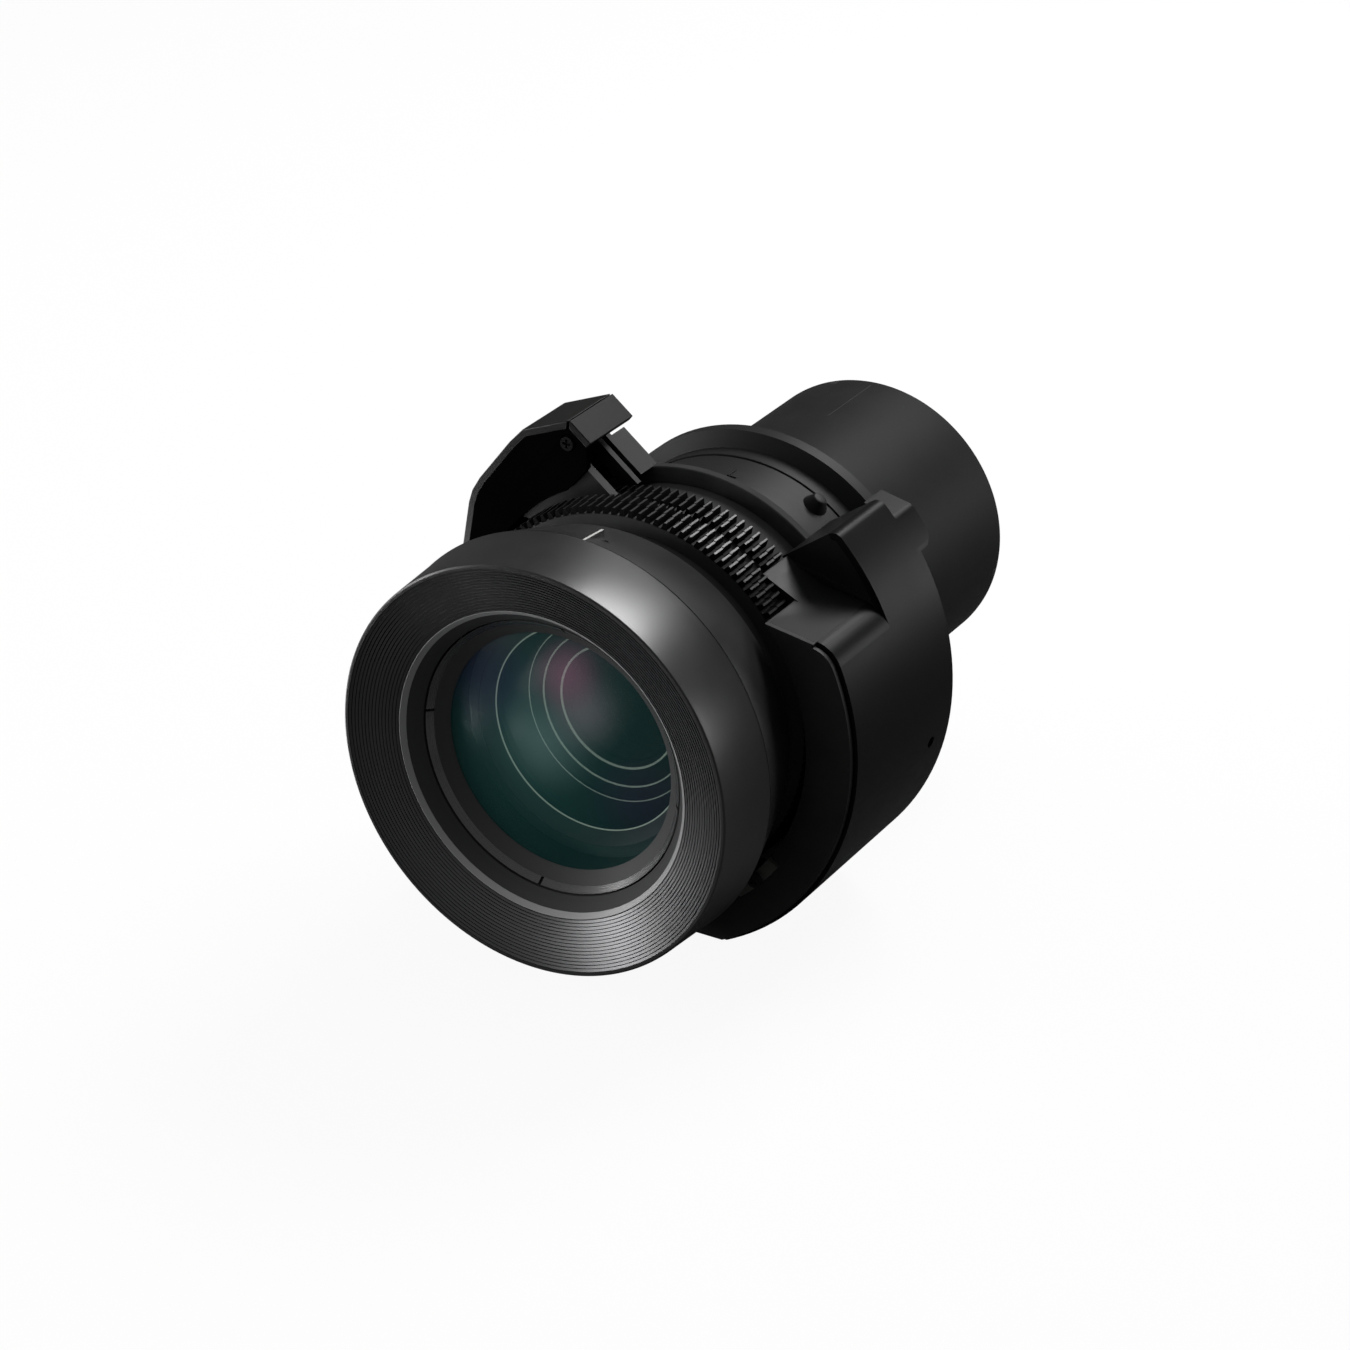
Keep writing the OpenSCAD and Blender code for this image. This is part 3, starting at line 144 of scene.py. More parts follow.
class Tree:
    """Adds nodes to a material or world and links them."""

    def __init__(self, owner: bpy.types.ID) -> None:
        """Starts from an empty tree.

        Args:
            owner: the material or world.
        """
        owner.use_nodes = True
        self.tree = owner.node_tree
        self.tree.nodes.clear()

    def add(self, kind: str, inputs: dict | None = None, **settings: object) -> bpy.types.Node:
        """Adds a node.

        Args:
            kind: the node's type.
            inputs: values for its sockets, by name or number.
            settings: values for its attributes.

        Returns:
            The node.
        """
        made = self.tree.nodes.new(kind)
        for key, value in settings.items():
            setattr(made, key, value)
        for key, value in (inputs or {}).items():
            made.inputs[key].default_value = value
        return made

    def link(self, source: Socket, target: Socket) -> None:
        """Joins two sockets."""
        self.tree.links.new(source, target)

    def ramp(self, source: Socket, stops: list[tuple[float, tuple]]) -> Socket:
        """Passes a value through a colour ramp.

        Args:
            source: the value.
            stops: places with their colours.

        Returns:
            The ramp's colour.
        """
        made = self.add("ShaderNodeValToRGB")
        elements = made.color_ramp.elements
        while len(elements) < len(stops):
            elements.new(0.5)
        for element, (place, colour) in zip(elements, stops):
            element.position = place
            element.color = (*colour, 1.0)
        self.link(source, made.inputs["Fac"])
        return made.outputs["Color"]

    def span(self, source: Socket, low: float, high: float) -> Socket:
        """Maps the middle of a noise's range to two values.

        Args:
            source: the noise's value.
            low: result at the low end.
            high: result at the high end.

        Returns:
            The mapped value.
        """
        ends = {"From Min": NOISE_LOW, "From Max": NOISE_HIGH, "To Min": low, "To Max": high}
        made = self.add("ShaderNodeMapRange", ends)
        self.link(source, made.inputs["Value"])
        return made.outputs["Result"]

    def noise(self, place: Socket, scale: float, detail: float, roughness: float = 0.5) -> Socket:
        """Reads a noise at a place.

        Args:
            place: the coordinates.
            scale: grains per metre.
            detail: number of finer layers.
            roughness: weight of the finer layers.

        Returns:
            The noise's value.
        """
        made = self.add("ShaderNodeTexNoise", {"Scale": scale, "Detail": detail, "Roughness": roughness})
        self.link(place, made.inputs["Vector"])
        return made.outputs["Fac"]

    def across(self, place: Socket) -> Socket:
        """Drops the distance along the lens axis from a place.

        Args:
            place: the coordinates.

        Returns:
            The coordinates with that distance set to nothing.
        """
        flat = self.add("ShaderNodeVectorMath", {1: (1.0, 0.0, 1.0)}, operation="MULTIPLY")
        self.link(place, flat.inputs[0])
        return flat.outputs["Vector"]


@dataclass(frozen=True)
class Finish:
    """A painted, anodised or moulded surface with fine relief.

    Attributes:
        name: the material's name.
        colour: base colour, linear.
        roughness: middle of the roughness range.
        metallic: share of metal.
        grain: how the relief runs.
        grain_mm: size of the relief's grains.
        relief_mm: depth of the relief.
        mottle: how far the roughness varies.
        cloud: how far the colour varies, as a share.
        specular: specular level.
        glow: strength of a painted glow, a faint light of its own that paints the highlights on edges deep
            inside.
    """

    name: str
    colour: Triple
    roughness: float
    metallic: float = 0.0
    grain: Grain = Grain.MOULDED
    grain_mm: float = 0.35
    relief_mm: float = 0.01
    mottle: float = 0.05
    cloud: float = 0.15
    specular: float = 0.5
    glow: float = 0.0

    def pattern_place(self, tree: Tree) -> Socket:
        """Gives the coordinates that the pattern reads.

        Args:
            tree: the material's tree.

        Returns:
            Object coordinates, or radius and distance along the axis for a turned surface.
        """
        place = tree.add("ShaderNodeTexCoord").outputs["Object"]
        if self.grain is Grain.MOULDED:
            return place
        flat = tree.across(place)
        radius = tree.add("ShaderNodeVectorMath", operation="LENGTH")
        tree.link(flat, radius.inputs[0])
        split = tree.add("ShaderNodeSeparateXYZ")
        tree.link(place, split.inputs[0])
        joined = tree.add("ShaderNodeCombineXYZ")
        tree.link(radius.outputs["Value"], joined.inputs["X"])
        tree.link(split.outputs["Y"], joined.inputs["Y"])
        return joined.outputs["Vector"]

    def build(self) -> bpy.types.Material:
        """Makes the material.

        Returns:
            The material.
        """
        made = bpy.data.materials.new(self.name)
        tree = Tree(made)
        out = tree.add("ShaderNodeOutputMaterial")
        shader = tree.add("ShaderNodeBsdfPrincipled", {
            "Metallic": self.metallic, "Specular IOR Level": self.specular,
            "Emission Color": (*self.colour, 1.0), "Emission Strength": self.glow,
        })
        place = self.pattern_place(tree)
        fine = tree.noise(place, 1 / (self.grain_mm * MM), GRAIN_LAYERS, GRAIN_WEIGHT)
        wide = tree.noise(place, CLOUD_SCALE, CLOUD_LAYERS, CLOUD_WEIGHT)
        blend = tree.add("ShaderNodeMath", {1: 0.5}, operation="MULTIPLY_ADD")
        tree.link(fine, blend.inputs[0])
        half = tree.add("ShaderNodeMath", {1: 0.5}, operation="MULTIPLY")
        tree.link(wide, half.inputs[0])
        tree.link(half.outputs["Value"], blend.inputs[2])
        low = self.roughness - self.mottle
        high = self.roughness + self.mottle
        tree.link(tree.span(blend.outputs["Value"], low, high), shader.inputs["Roughness"])
        dark = tuple(c * (1 - self.cloud) for c in self.colour)
        light = tuple(min(1.0, c * (1 + self.cloud)) for c in self.colour)
        colour = tree.ramp(wide, [(CLOUD_LOW, dark), (CLOUD_HIGH, light)])
        tree.link(colour, shader.inputs["Base Color"])
        relief = {"Strength": RELIEF_STRENGTH, "Distance": self.relief_mm * MM}
        bump = tree.add("ShaderNodeBump", relief)
        tree.link(fine, bump.inputs["Height"])
        tree.link(bump.outputs["Normal"], shader.inputs["Normal"])
        tree.link(shader.outputs["BSDF"], out.inputs["Surface"])
        return made


@dataclass(frozen=True)
class PaintedReflectionSpot:
    """A soft painted reflection: a patch of another reflection colour painted on coated glass.

    Attributes:
        across: its place to the right of the axis, in mm.
        height: its place above the axis, in mm.
        reach: distance at which it has faded out, in mm.
        colour: its colour, linear.
    """

    across: float
    height: float
    reach: float
    colour: Triple


@dataclass(frozen=True)
class CoatedGlass:
    """Optical glass whose coating's coloured reflection is painted into its base colour, a soft painted
    reflection, and which lets the inner rings show.

    Attributes:
        name: the material's name.
        colour: the coating's main reflection colour, painted into the base colour, linear.
        veil: share of light that the coating holds back.
        roughness: softness of its reflections.
        painted_reflections: painted reflections, soft patches of other colours placed on the glass.
        index: refractive index that sets how much the coated surface reflects.
        haze: how far the roughness varies.
        dimming: the darker colour's share of the main colour.
    """

    name: str
    colour: Triple
    veil: float
    roughness: float = 0.2
    painted_reflections: tuple[PaintedReflectionSpot, ...] = ()
    index: float = 1.25
    haze: float = 0.02
    dimming: float = 0.94

    def build(self) -> bpy.types.Material:
        """Makes the material.

        Returns:
            The material.
        """
        made = bpy.data.materials.new(self.name)
        tree = Tree(made)
        out = tree.add("ShaderNodeOutputMaterial")
        shader = tree.add("ShaderNodeBsdfPrincipled", {"Alpha": self.veil, "IOR": self.index})
        place = tree.add("ShaderNodeTexCoord").outputs["Object"]
        mist = tree.noise(place, HAZE_SCALE, HAZE_LAYERS)
        rough = tree.span(mist, self.roughness - self.haze, self.roughness + self.haze)
        tree.link(rough, shader.inputs["Roughness"])
        dim = tuple(c * self.dimming for c in self.colour)
        colour = tree.ramp(mist, [(NOISE_LOW, dim), (NOISE_HIGH, self.colour)])
        flat = tree.across(place)
        # Each spot paints a soft patch of reflection colour round its place on the glass
        for reflection_spot in self.painted_reflections:
            middle = (reflection_spot.across * MM, 0.0, reflection_spot.height * MM)
            away = tree.add("ShaderNodeVectorMath", {1: middle}, operation="DISTANCE")
            tree.link(flat, away.inputs[0])
            ends = {"From Min": 0.0, "From Max": reflection_spot.reach * MM, "To Min": 1.0, "To Max": 0.0}
            near = tree.add("ShaderNodeMapRange", ends, interpolation_type="SMOOTHSTEP")
            tree.link(away.outputs["Value"], near.inputs["Value"])
            mixed = tree.add("ShaderNodeMix", {MIX_SECOND: (*reflection_spot.colour, 1.0)}, data_type="RGBA")
            tree.link(near.outputs["Result"], mixed.inputs[MIX_SHARE])
            tree.link(colour, mixed.inputs[MIX_FIRST])
            colour = mixed.outputs[MIX_RESULT]
        tree.link(colour, shader.inputs["Base Color"])
        tree.link(shader.outputs["BSDF"], out.inputs["Surface"])
        return made


# Finishes that share their grain
turned = partial(Finish, grain=Grain.TURNED)
fine_metal = partial(Finish, grain_mm=0.2, relief_mm=0.004)
moulding = partial(Finish, grain_mm=0.5, relief_mm=0.006, mottle=0.04)
gear = partial(Finish, grain_mm=0.35, relief_mm=0.006)
SATIN_HOOD = Finish(
    "satin_hood", (0.013, 0.013, 0.0135), 0.33, grain_mm=0.3, relief_mm=0.004, specular=0.8,
)
# Near-black of the fine dark parting line, and painted shade in the small notches of the rear tube
NOTCH_SHADE_AND_SEAM_BLACK = Finish("notch_shade_and_seam_black", (0.003, 0.003, 0.003), 0.7)
MOULDED_GLOSS = moulding("moulded_gloss", (0.004, 0.004, 0.004), 0.3, specular=0.2)
MOULDED_SATIN = Finish(
    "moulded_satin", (0.009, 0.009, 0.009), 0.42, grain_mm=0.4, relief_mm=0.01, specular=0.12,
)
MATT_PLATE = Finish("matt_plate", (0.022, 0.022, 0.022), 0.5, grain_mm=0.4, relief_mm=0.006, specular=0.15)
# Lighter grey of the teeth's tops: painted light
LAND_PAINTED_LIGHT_GREY = gear("gear_plastic", (0.02, 0.02, 0.0205), 0.4, specular=0.4)
ANODISED = turned(
    "black_anodised", (0.016, 0.016, 0.0165), 0.5, grain_mm=0.3, relief_mm=0.003, specular=0.12,
)
TUBE_SATIN = Finish(
    "rear_tube_satin", (0.013, 0.013, 0.0137), 0.55, grain_mm=0.3, relief_mm=0.005, specular=0.08,
)
BAFFLE = turned(
    "stepped_baffle", (0.075, 0.075, 0.077), 0.3, metallic=0.75, grain_mm=0.25, relief_mm=0.002,
)
FLOCKED = Finish("matt_black_paint", (0.006, 0.006, 0.006), 0.75, grain_mm=0.2, relief_mm=0.01)
BEZEL = turned("matt_bezel", (0.04, 0.04, 0.041), 0.5, grain_mm=0.2, relief_mm=0.002, specular=0.12)
RING_METAL = turned(
    "retaining_ring_metal", (0.2, 0.2, 0.2), 0.28, metallic=0.85, grain_mm=0.2, relief_mm=0.003,
)
SPACER_METAL = fine_metal("spacer_metal", (0.12, 0.14, 0.13), 0.35, metallic=0.5, grain=Grain.TURNED)
GREY_ALLOY = fine_metal("grey_alloy", (0.2, 0.2, 0.19), 0.35, metallic=0.8)
BRASS = fine_metal("turned_brass", (0.55, 0.4, 0.17), 0.3, metallic=1.0)
STEEL = fine_metal("black_oxide_steel", (0.03, 0.03, 0.032), 0.35, metallic=0.6)
WHITE_PAINT = fine_metal("white_paint", (0.6, 0.6, 0.58), 0.5, cloud=0.05)
# Near-black that paints the shade on the teeth's flanks and roots; it also dresses the left plate's screw
TOOTH_SHADE_AND_SCREW_BLACK = gear("tooth_dark", (0.006, 0.006, 0.0062), 0.65, specular=0.02)
RING_MATT = gear("ring_matt", (0.05, 0.05, 0.051), 0.65, specular=0.02)
CHAMFER = turned(
    "smooth_chamfer", (0.24, 0.24, 0.242), 0.4, metallic=0.1, grain_mm=0.25, relief_mm=0.002,
)
# Pale colour with a painted glow: painted highlights on the fine edges seen deep inside the lens
EDGE_HIGHLIGHT_PAINT = turned(
    "pale_turned_edge", (0.5, 0.62, 0.52), 0.4, metallic=0.2, grain_mm=0.2, relief_mm=0.002, glow=0.35,
)
PLATE_BLACK = Finish(
    "plate_black", (0.0012, 0.0012, 0.0012), 0.6, grain_mm=0.4, relief_mm=0.006, specular=0.0,
)
COVER_SATIN = moulding("cover_satin", (0.0035, 0.0035, 0.0035), 0.42, specular=0.08)
# The front glass's teal colour and its navy, cyan and pink spots are painted reflections
FRONT_GLASS = CoatedGlass(
    "front_glass", (0.02, 0.085, 0.08), 0.3, 0.28,
    (
        PaintedReflectionSpot(-24.0, 18.0, 22.0, (0.03, 0.05, 0.1)),
        PaintedReflectionSpot(26.0, -8.0, 20.0, (0.04, 0.06, 0.1)),
        PaintedReflectionSpot(-2.0, 4.0, 17.0, (0.12, 0.24, 0.23)),
        PaintedReflectionSpot(9.0, 15.0, 13.0, (0.24, 0.27, 0.29)),
        PaintedReflectionSpot(3.0, 23.0, 12.0, (0.34, 0.2, 0.28)),
    ),
)
SECOND_GLASS = CoatedGlass("second_glass", (0.05, 0.12, 0.1), 0.08)
INNER_GLASS = CoatedGlass("inner_glass", (0.14, 0.13, 0.15), 0.2)
REAR_GLASS = CoatedGlass("rear_glass", (0.06, 0.12, 0.09), 0.3)


class Workshop:
    """Keeps each finish's material once, and turns finished shapes into pieces."""

    def __init__(self) -> None:
        """Starts with no materials."""
        self.materials: dict[str, bpy.types.Material] = {}

    def material(self, finish: Finish | CoatedGlass) -> bpy.types.Material:
        """Gives a finish's material, made at its first use.

        Args:
            finish: the finish.

        Returns:
            Its material.
        """
        if finish.name not in self.materials:
            self.materials[finish.name] = finish.build()
        return self.materials[finish.name]

    def dress(self, node: str, finish: Finish | CoatedGlass) -> None:
        """Gives a CAD node its finish.

        Args:
            node: the node's name.
            finish: what it is made of.
        """
        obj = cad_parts[node]
        obj.data.materials.clear()
        obj.data.materials.append(self.material(finish))
        LOG.info("dressed %s in %s", node, finish.name)

    def piece(
        self, name: str, shape: BMesh, body: Body, finish: Finish | CoatedGlass,
        replaced: tuple[str, ...] = (), sharp: float = SHARP_ANGLE,
    ) -> Object:
        """Turns a shape into a piece that rides on a body.

        Args:
            name: the piece's name.
            shape: its mesh, in place.
            body: what it moves with.
            finish: what it is made of.
            replaced: CAD nodes it stands for.
            sharp: angle in degrees from which an edge stays sharp.

        Returns:
            The piece.
        """
        mesh = bpy.data.meshes.new(name)
        shape.to_mesh(mesh)
        shape.free()
        mesh.shade_smooth()
        mesh.set_sharp_from_angle(angle=math.radians(sharp))
        mesh.materials.append(self.material(finish))
        made = placed(name, mesh)
        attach(made, body.value)
        if replaced:
            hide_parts(*replaced)
        LOG.info("made %s, %d faces", name, len(mesh.polygons))
        return made

    def softened(self, node: str, body: Body, finish: Finish, width: float) -> Object:
        """Copies a CAD node, joins its loose triangles and rounds its edges.

        Args:
            node: the node.
            body: the body that it rides on.
            finish: what it is made of.
            width: width of the rounding, in mm.

        Returns:
            The piece.
        """
        shape = bmesh.new()
        shape.from_mesh(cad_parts[node].data)
        bmesh.ops.remove_doubles(shape, verts=shape.verts[:], dist=CAD_MERGE)
        bmesh.ops.dissolve_limit(
            shape, angle_limit=math.radians(FLAT_ANGLE), verts=shape.verts[:], edges=shape.edges[:],
            delimit=set(),
        )
        made = self.piece(node + "_moulding", shape, body, finish, (node,))
        bevel = made.modifiers.new("edges", "BEVEL")
        bevel.width = width * MM
        bevel.segments = 3
        bevel.limit_method = "ANGLE"
        bevel.angle_limit = math.radians(ROUNDED_ANGLE)
        bevel.harden_normals = True
        return made


def spot(radius: float, y: float) -> Vector:
    """Gives the point above the axis at a radius and a distance behind the rim, both in mm."""
    return Vector((0.0, (y - SEAT_Y) * MM, radius * MM))


def around(angle: float) -> Matrix:
    """Gives the turn from the top to an angle in degrees round the axis."""
    return Matrix.Rotation(math.radians(angle), 4, "Y")


def turn(shape: BMesh, angle: float, verts: list[bmesh.types.BMVert]) -> None:
    """Turns corners of a shape round the axis by an angle in degrees."""
    bmesh.ops.rotate(shape, cent=(0, 0, 0), matrix=around(angle), verts=verts)


def close(shape: BMesh) -> None:
    """Joins corners that meet and points all faces outwards."""
    bmesh.ops.remove_doubles(shape, verts=shape.verts[:], dist=MERGE)
    bmesh.ops.recalc_face_normals(shape, faces=shape.faces[:])


def sag(curve: float, radius: float) -> float:
    """Gives the depth of a ball across a circle."""
    return curve - math.sqrt(curve * curve - radius * radius)


def dome(vertex: float, curve: float, edge: float) -> Outline:
    """Gives points on a ball of radius curve, from its vertex on the axis to its edge, all in mm."""
    radii = [edge * i / DOME_STEPS for i in range(DOME_STEPS + 1)]
    return [(r, vertex + sag(curve, r)) for r in radii]


def spun(outline: Outline | Profile) -> BMesh:
    """Spins a closed outline about the lens axis.

    Args:
        outline: corners as radius and distance behind the rim, in mm.

    Returns:
        The shape.
    """
    shape = bmesh.new()
    corners = [shape.verts.new(spot(r, y)) for r, y in outline]
    shape.faces.new(corners)
    bmesh.ops.delete(shape, geom=shape.faces[:], context="FACES_ONLY")
    bmesh.ops.spin(
        shape, geom=shape.verts[:] + shape.edges[:], cent=(0, 0, 0), axis=(0, 1, 0), angle=FULL_TURN,
        steps=ROUND_STEPS, use_merge=True, use_duplicate=False,
    )
    close(shape)
    return shape


def add_block(shape: BMesh, size: Triple, centre: Triple, angle: float, soft: float = 0.0) -> None:
    """Adds a block to a shape, set round the axis.

    Args:
        shape: the shape.
        size: width across, length along the axis and height, in mm.
        centre: place across, distance behind the rim and radius, in mm.
        angle: angle round the axis, in degrees.
        soft: rounding of its edges, in mm.
    """
    across, y, radius = centre
    made = bmesh.ops.create_cube(shape, size=1.0)["verts"]
    bmesh.ops.scale(shape, vec=Vector(size) * MM, verts=made)
    bmesh.ops.translate(shape, vec=Vector((across, y - SEAT_Y, radius)) * MM, verts=made)
    if soft > 0:
        edges = list({e for v in made for e in v.link_edges})
        rounded = bmesh.ops.bevel(
            shape, geom=edges, offset=soft * MM, affect="EDGES", segments=2, profile=0.5, material=-1
        )
        made = list({v for f in rounded["faces"] for v in f.verts} | {v for v in made if v.is_valid})
    turn(shape, angle, made)


def joined(parts: list[BMesh]) -> BMesh:
    """Joins shapes into one.

    Args:
        parts: the shapes, which are used up.

    Returns:
        One shape with all of them.
    """
    whole = bmesh.new()
    for part in parts:
        holder = bpy.data.meshes.new("part")
        part.to_mesh(holder)
        part.free()
        whole.from_mesh(holder)
        bpy.data.meshes.remove(holder)
    return whole


def stud(y: float, angle: float, rings: Outline, segments: int) -> BMesh:
    """Makes a radial stud.

    Args:
        y: distance of its axis behind the rim.
        angle: angle round the lens axis, in degrees.
        rings: stud radius and height above the lens axis, from the outer end to the foot.
        segments: faces round it.

    Returns:
        The shape.
    """
    shape = bmesh.new()
    chain = [shape.verts.new((r * MM, 0, h * MM)) for r, h in rings]
    edges = [shape.edges.new(pair) for pair in zip(chain, chain[1:])]
    bmesh.ops.spin(
        shape, geom=chain + edges, cent=(0, 0, 0), axis=(0, 0, 1), angle=FULL_TURN, steps=segments,
        use_merge=True, use_duplicate=False,
    )
    close(shape)
    bmesh.ops.translate(shape, vec=(0, (y - SEAT_Y) * MM, 0), verts=shape.verts[:])
    turn(shape, angle, shape.verts[:])
    return shape


@dataclass
class Hood:
    """The front hood with its stepped baffle and smooth inner ring. Sizes in mm.

    The profiles run as radius and distance behind the rim. The rim's edge counts from the rim's radius.
    """

    rim_r: float = 56.0
    back_r: float = 57.3
    length: float = 20.0
    collar_r: float = 50.5
    collar_len: float = 22.0
    collar_round: float = 0.4
    bearing_r: float = 43.02
    bearing_len: float = 18.0
    grip_r: float = 45.5
    lip_t: float = 2.5
    wall: float = 1.2
    rim_edge: Profile = ((-1.1, 0.06), (-0.45, 0.0), (-0.04, 0.34), (0.02, 0.8))
    bevel: float = 0.3
    groove: float = 0.3
    seam_w: float = 0.12
    edge_w: float = 0.25
    edge_t: float = 0.05
    steps: int = 15
    slant: float = 0.5
    cut: float = 0.24
    depth: float = 4.1
    baffle_r: float = 42.1
    baffle_wall: float = 1.8
    baffle_back_y: float = 6.2
    baffle_edge_y: float = 2.4
    chamfer: Profile = ((42.1, 4.42), (41.98, 4.42), (40.75, 5.65), (40.75, 6.4), (42.1, 6.4))
    inner_cone: Profile = (
        (40.73, 5.7), (37.88, 9.2), (37.88, 13.5), (42.1, 13.5), (42.1, 6.42), (40.73, 6.42),
    )
    rib_len: float = 9.3
    rib_w: float = 0.6
    rib_h: float = 3.5
    rib_drop: float = 0.8
    mark_t: float = 0.12
    index_angle: float = 3.9
    screw_angle: float = 7.2
    screw_r: float = 1.1
    screw_rise: float = 0.08
    screw_len: float = 1.0
    screw_faces: int = 24
    socket_share: float = 0.6
    socket_foot_share: float = 0.55
    socket_floor: float = 0.2
    socket_wall: float = 0.25
    socket_faces: int = 6

    def collar_at(self, y: float) -> float:
        """Gives the collar's radius at a distance behind the rim."""
        return self.back_r + (self.collar_r - self.back_r) * (y - self.length) / self.collar_len

    def shell(self) -> BMesh:
        """Makes the smooth shell with its rim bevel, parting line, collar and index rib.

        Returns:
            The shape.
        """
        bore = self.rim_r - self.wall
        y0 = self.length + self.groove
        end = self.length + self.collar_len
        tail = end - self.edge_t
        shoulder = end - self.collar_round
        inner_end = end - self.bearing_len
        lip = end - self.lip_t
        outline = [(bore, self.bevel)]
        outline += [(self.rim_r + out, y) for out, y in self.rim_edge]
        outline += [
            (self.back_r - self.seam_w, self.length - self.edge_w), (self.back_r, self.length),
            (self.back_r - self.groove, self.length + LAP), (self.back_r - self.groove, y0),
            (self.collar_at(y0), y0), (self.collar_at(shoulder), shoulder),
            (self.collar_r - self.edge_w, tail), (self.bearing_r, tail), (self.bearing_r, inner_end),
            (self.grip_r, inner_end), (self.grip_r, lip), (self.collar_at(lip) - self.lip_t, lip),
            (bore, self.length - self.lip_t),
        ]
        parts = [spun(outline)]
        rib = bmesh.new()
        size = (self.rib_w, self.rib_len - self.groove, self.rib_h)
        add_block(rib, size, (0.0, y0 + self.rib_len / 2, 0.0), 0.0)
        for v in rib.verts:
            y = v.co.y / MM + SEAT_Y
            share = min(1.0, max(0.0, (y - y0) / self.rib_len))
            crest = self.back_r - self.rib_drop * share - self.mark_t
            v.co.z = (crest if v.co.z > 0 else crest - self.rib_h) * MM
        turn(rib, self.index_angle, rib.verts[:])
        parts.append(rib)
        return joined(parts)

    def screws(self) -> BMesh:
        """Makes the three set screws, flush in the collar, with hexagon sockets.

        Returns:
            The shape.
        """
        y = self.length + self.collar_len / 4
        top = self.collar_at(y) + self.screw_rise
        r = self.screw_r
        rings = [
            (r * self.socket_foot_share, top - self.socket_wall), (r * self.socket_share, top), (r, top),
            (r, top - self.screw_len),
        ]
        floor = [(0.0, top - self.socket_floor), (r * self.socket_share, top - self.socket_floor)]
        parts = []
        for i in range(3):
            angle = self.screw_angle + THIRD_TURN * i
            parts.append(stud(y, angle, rings, self.screw_faces))
            parts.append(stud(y, angle, floor, self.socket_faces))
        return joined(parts)

    def baffle(self) -> BMesh:
        """Makes the concave ring of fine slanted steps with narrow dark cuts between them.

        Returns:
            The shape.
        """
        outer = self.rim_r - self.wall - LAP
        bore = self.baffle_r + LAP
        back = self.baffle_r + self.baffle_wall
        width = (outer - self.baffle_r) / self.steps
        deep = self.depth / self.steps
        outline = []
        for i in range(self.steps):
            crest = self.bevel + i * deep
            foot = outer - (i + 1) * width + self.cut
            outline.append((outer - i * width, crest))
            outline.append((foot, crest + self.slant * (width - self.cut)))
            outline.append((foot, crest + self.slant * width + self.cut))
            outline.append((foot - self.cut, crest + self.slant * width + self.cut))
        outline += [
            (bore, self.bevel + self.depth), (bore, TUBE_FRONT_Y), (back, TUBE_FRONT_Y),
            (back, self.baffle_back_y), (outer, self.baffle_edge_y),
        ]
        return spun(outline)

    def build(self, shop: Workshop) -> None:
        """Makes and places all pieces of the hood.

        Args:
            shop: makes the pieces and keeps their materials.
        """
        body = Body.BARREL
        shop.piece("hood_turned", self.shell(), body, SATIN_HOOD, ("hood_shell",))
        shop.piece("collar_set_screws", self.screws(), body, STEEL, ("hood_screws",))
        shop.piece("stepped_baffle", self.baffle(), body, BAFFLE, ("front_baffle",), SHARP_STEP)
        shop.piece("inner_cone", spun(self.inner_cone), body, BEZEL, ("hood_inner_ring",), SHARP_STEP)
        shop.piece("smooth_chamfer", spun(self.chamfer), body, CHAMFER, (), SHARP_STEP)
        shop.dress("index_mark", WHITE_PAINT)


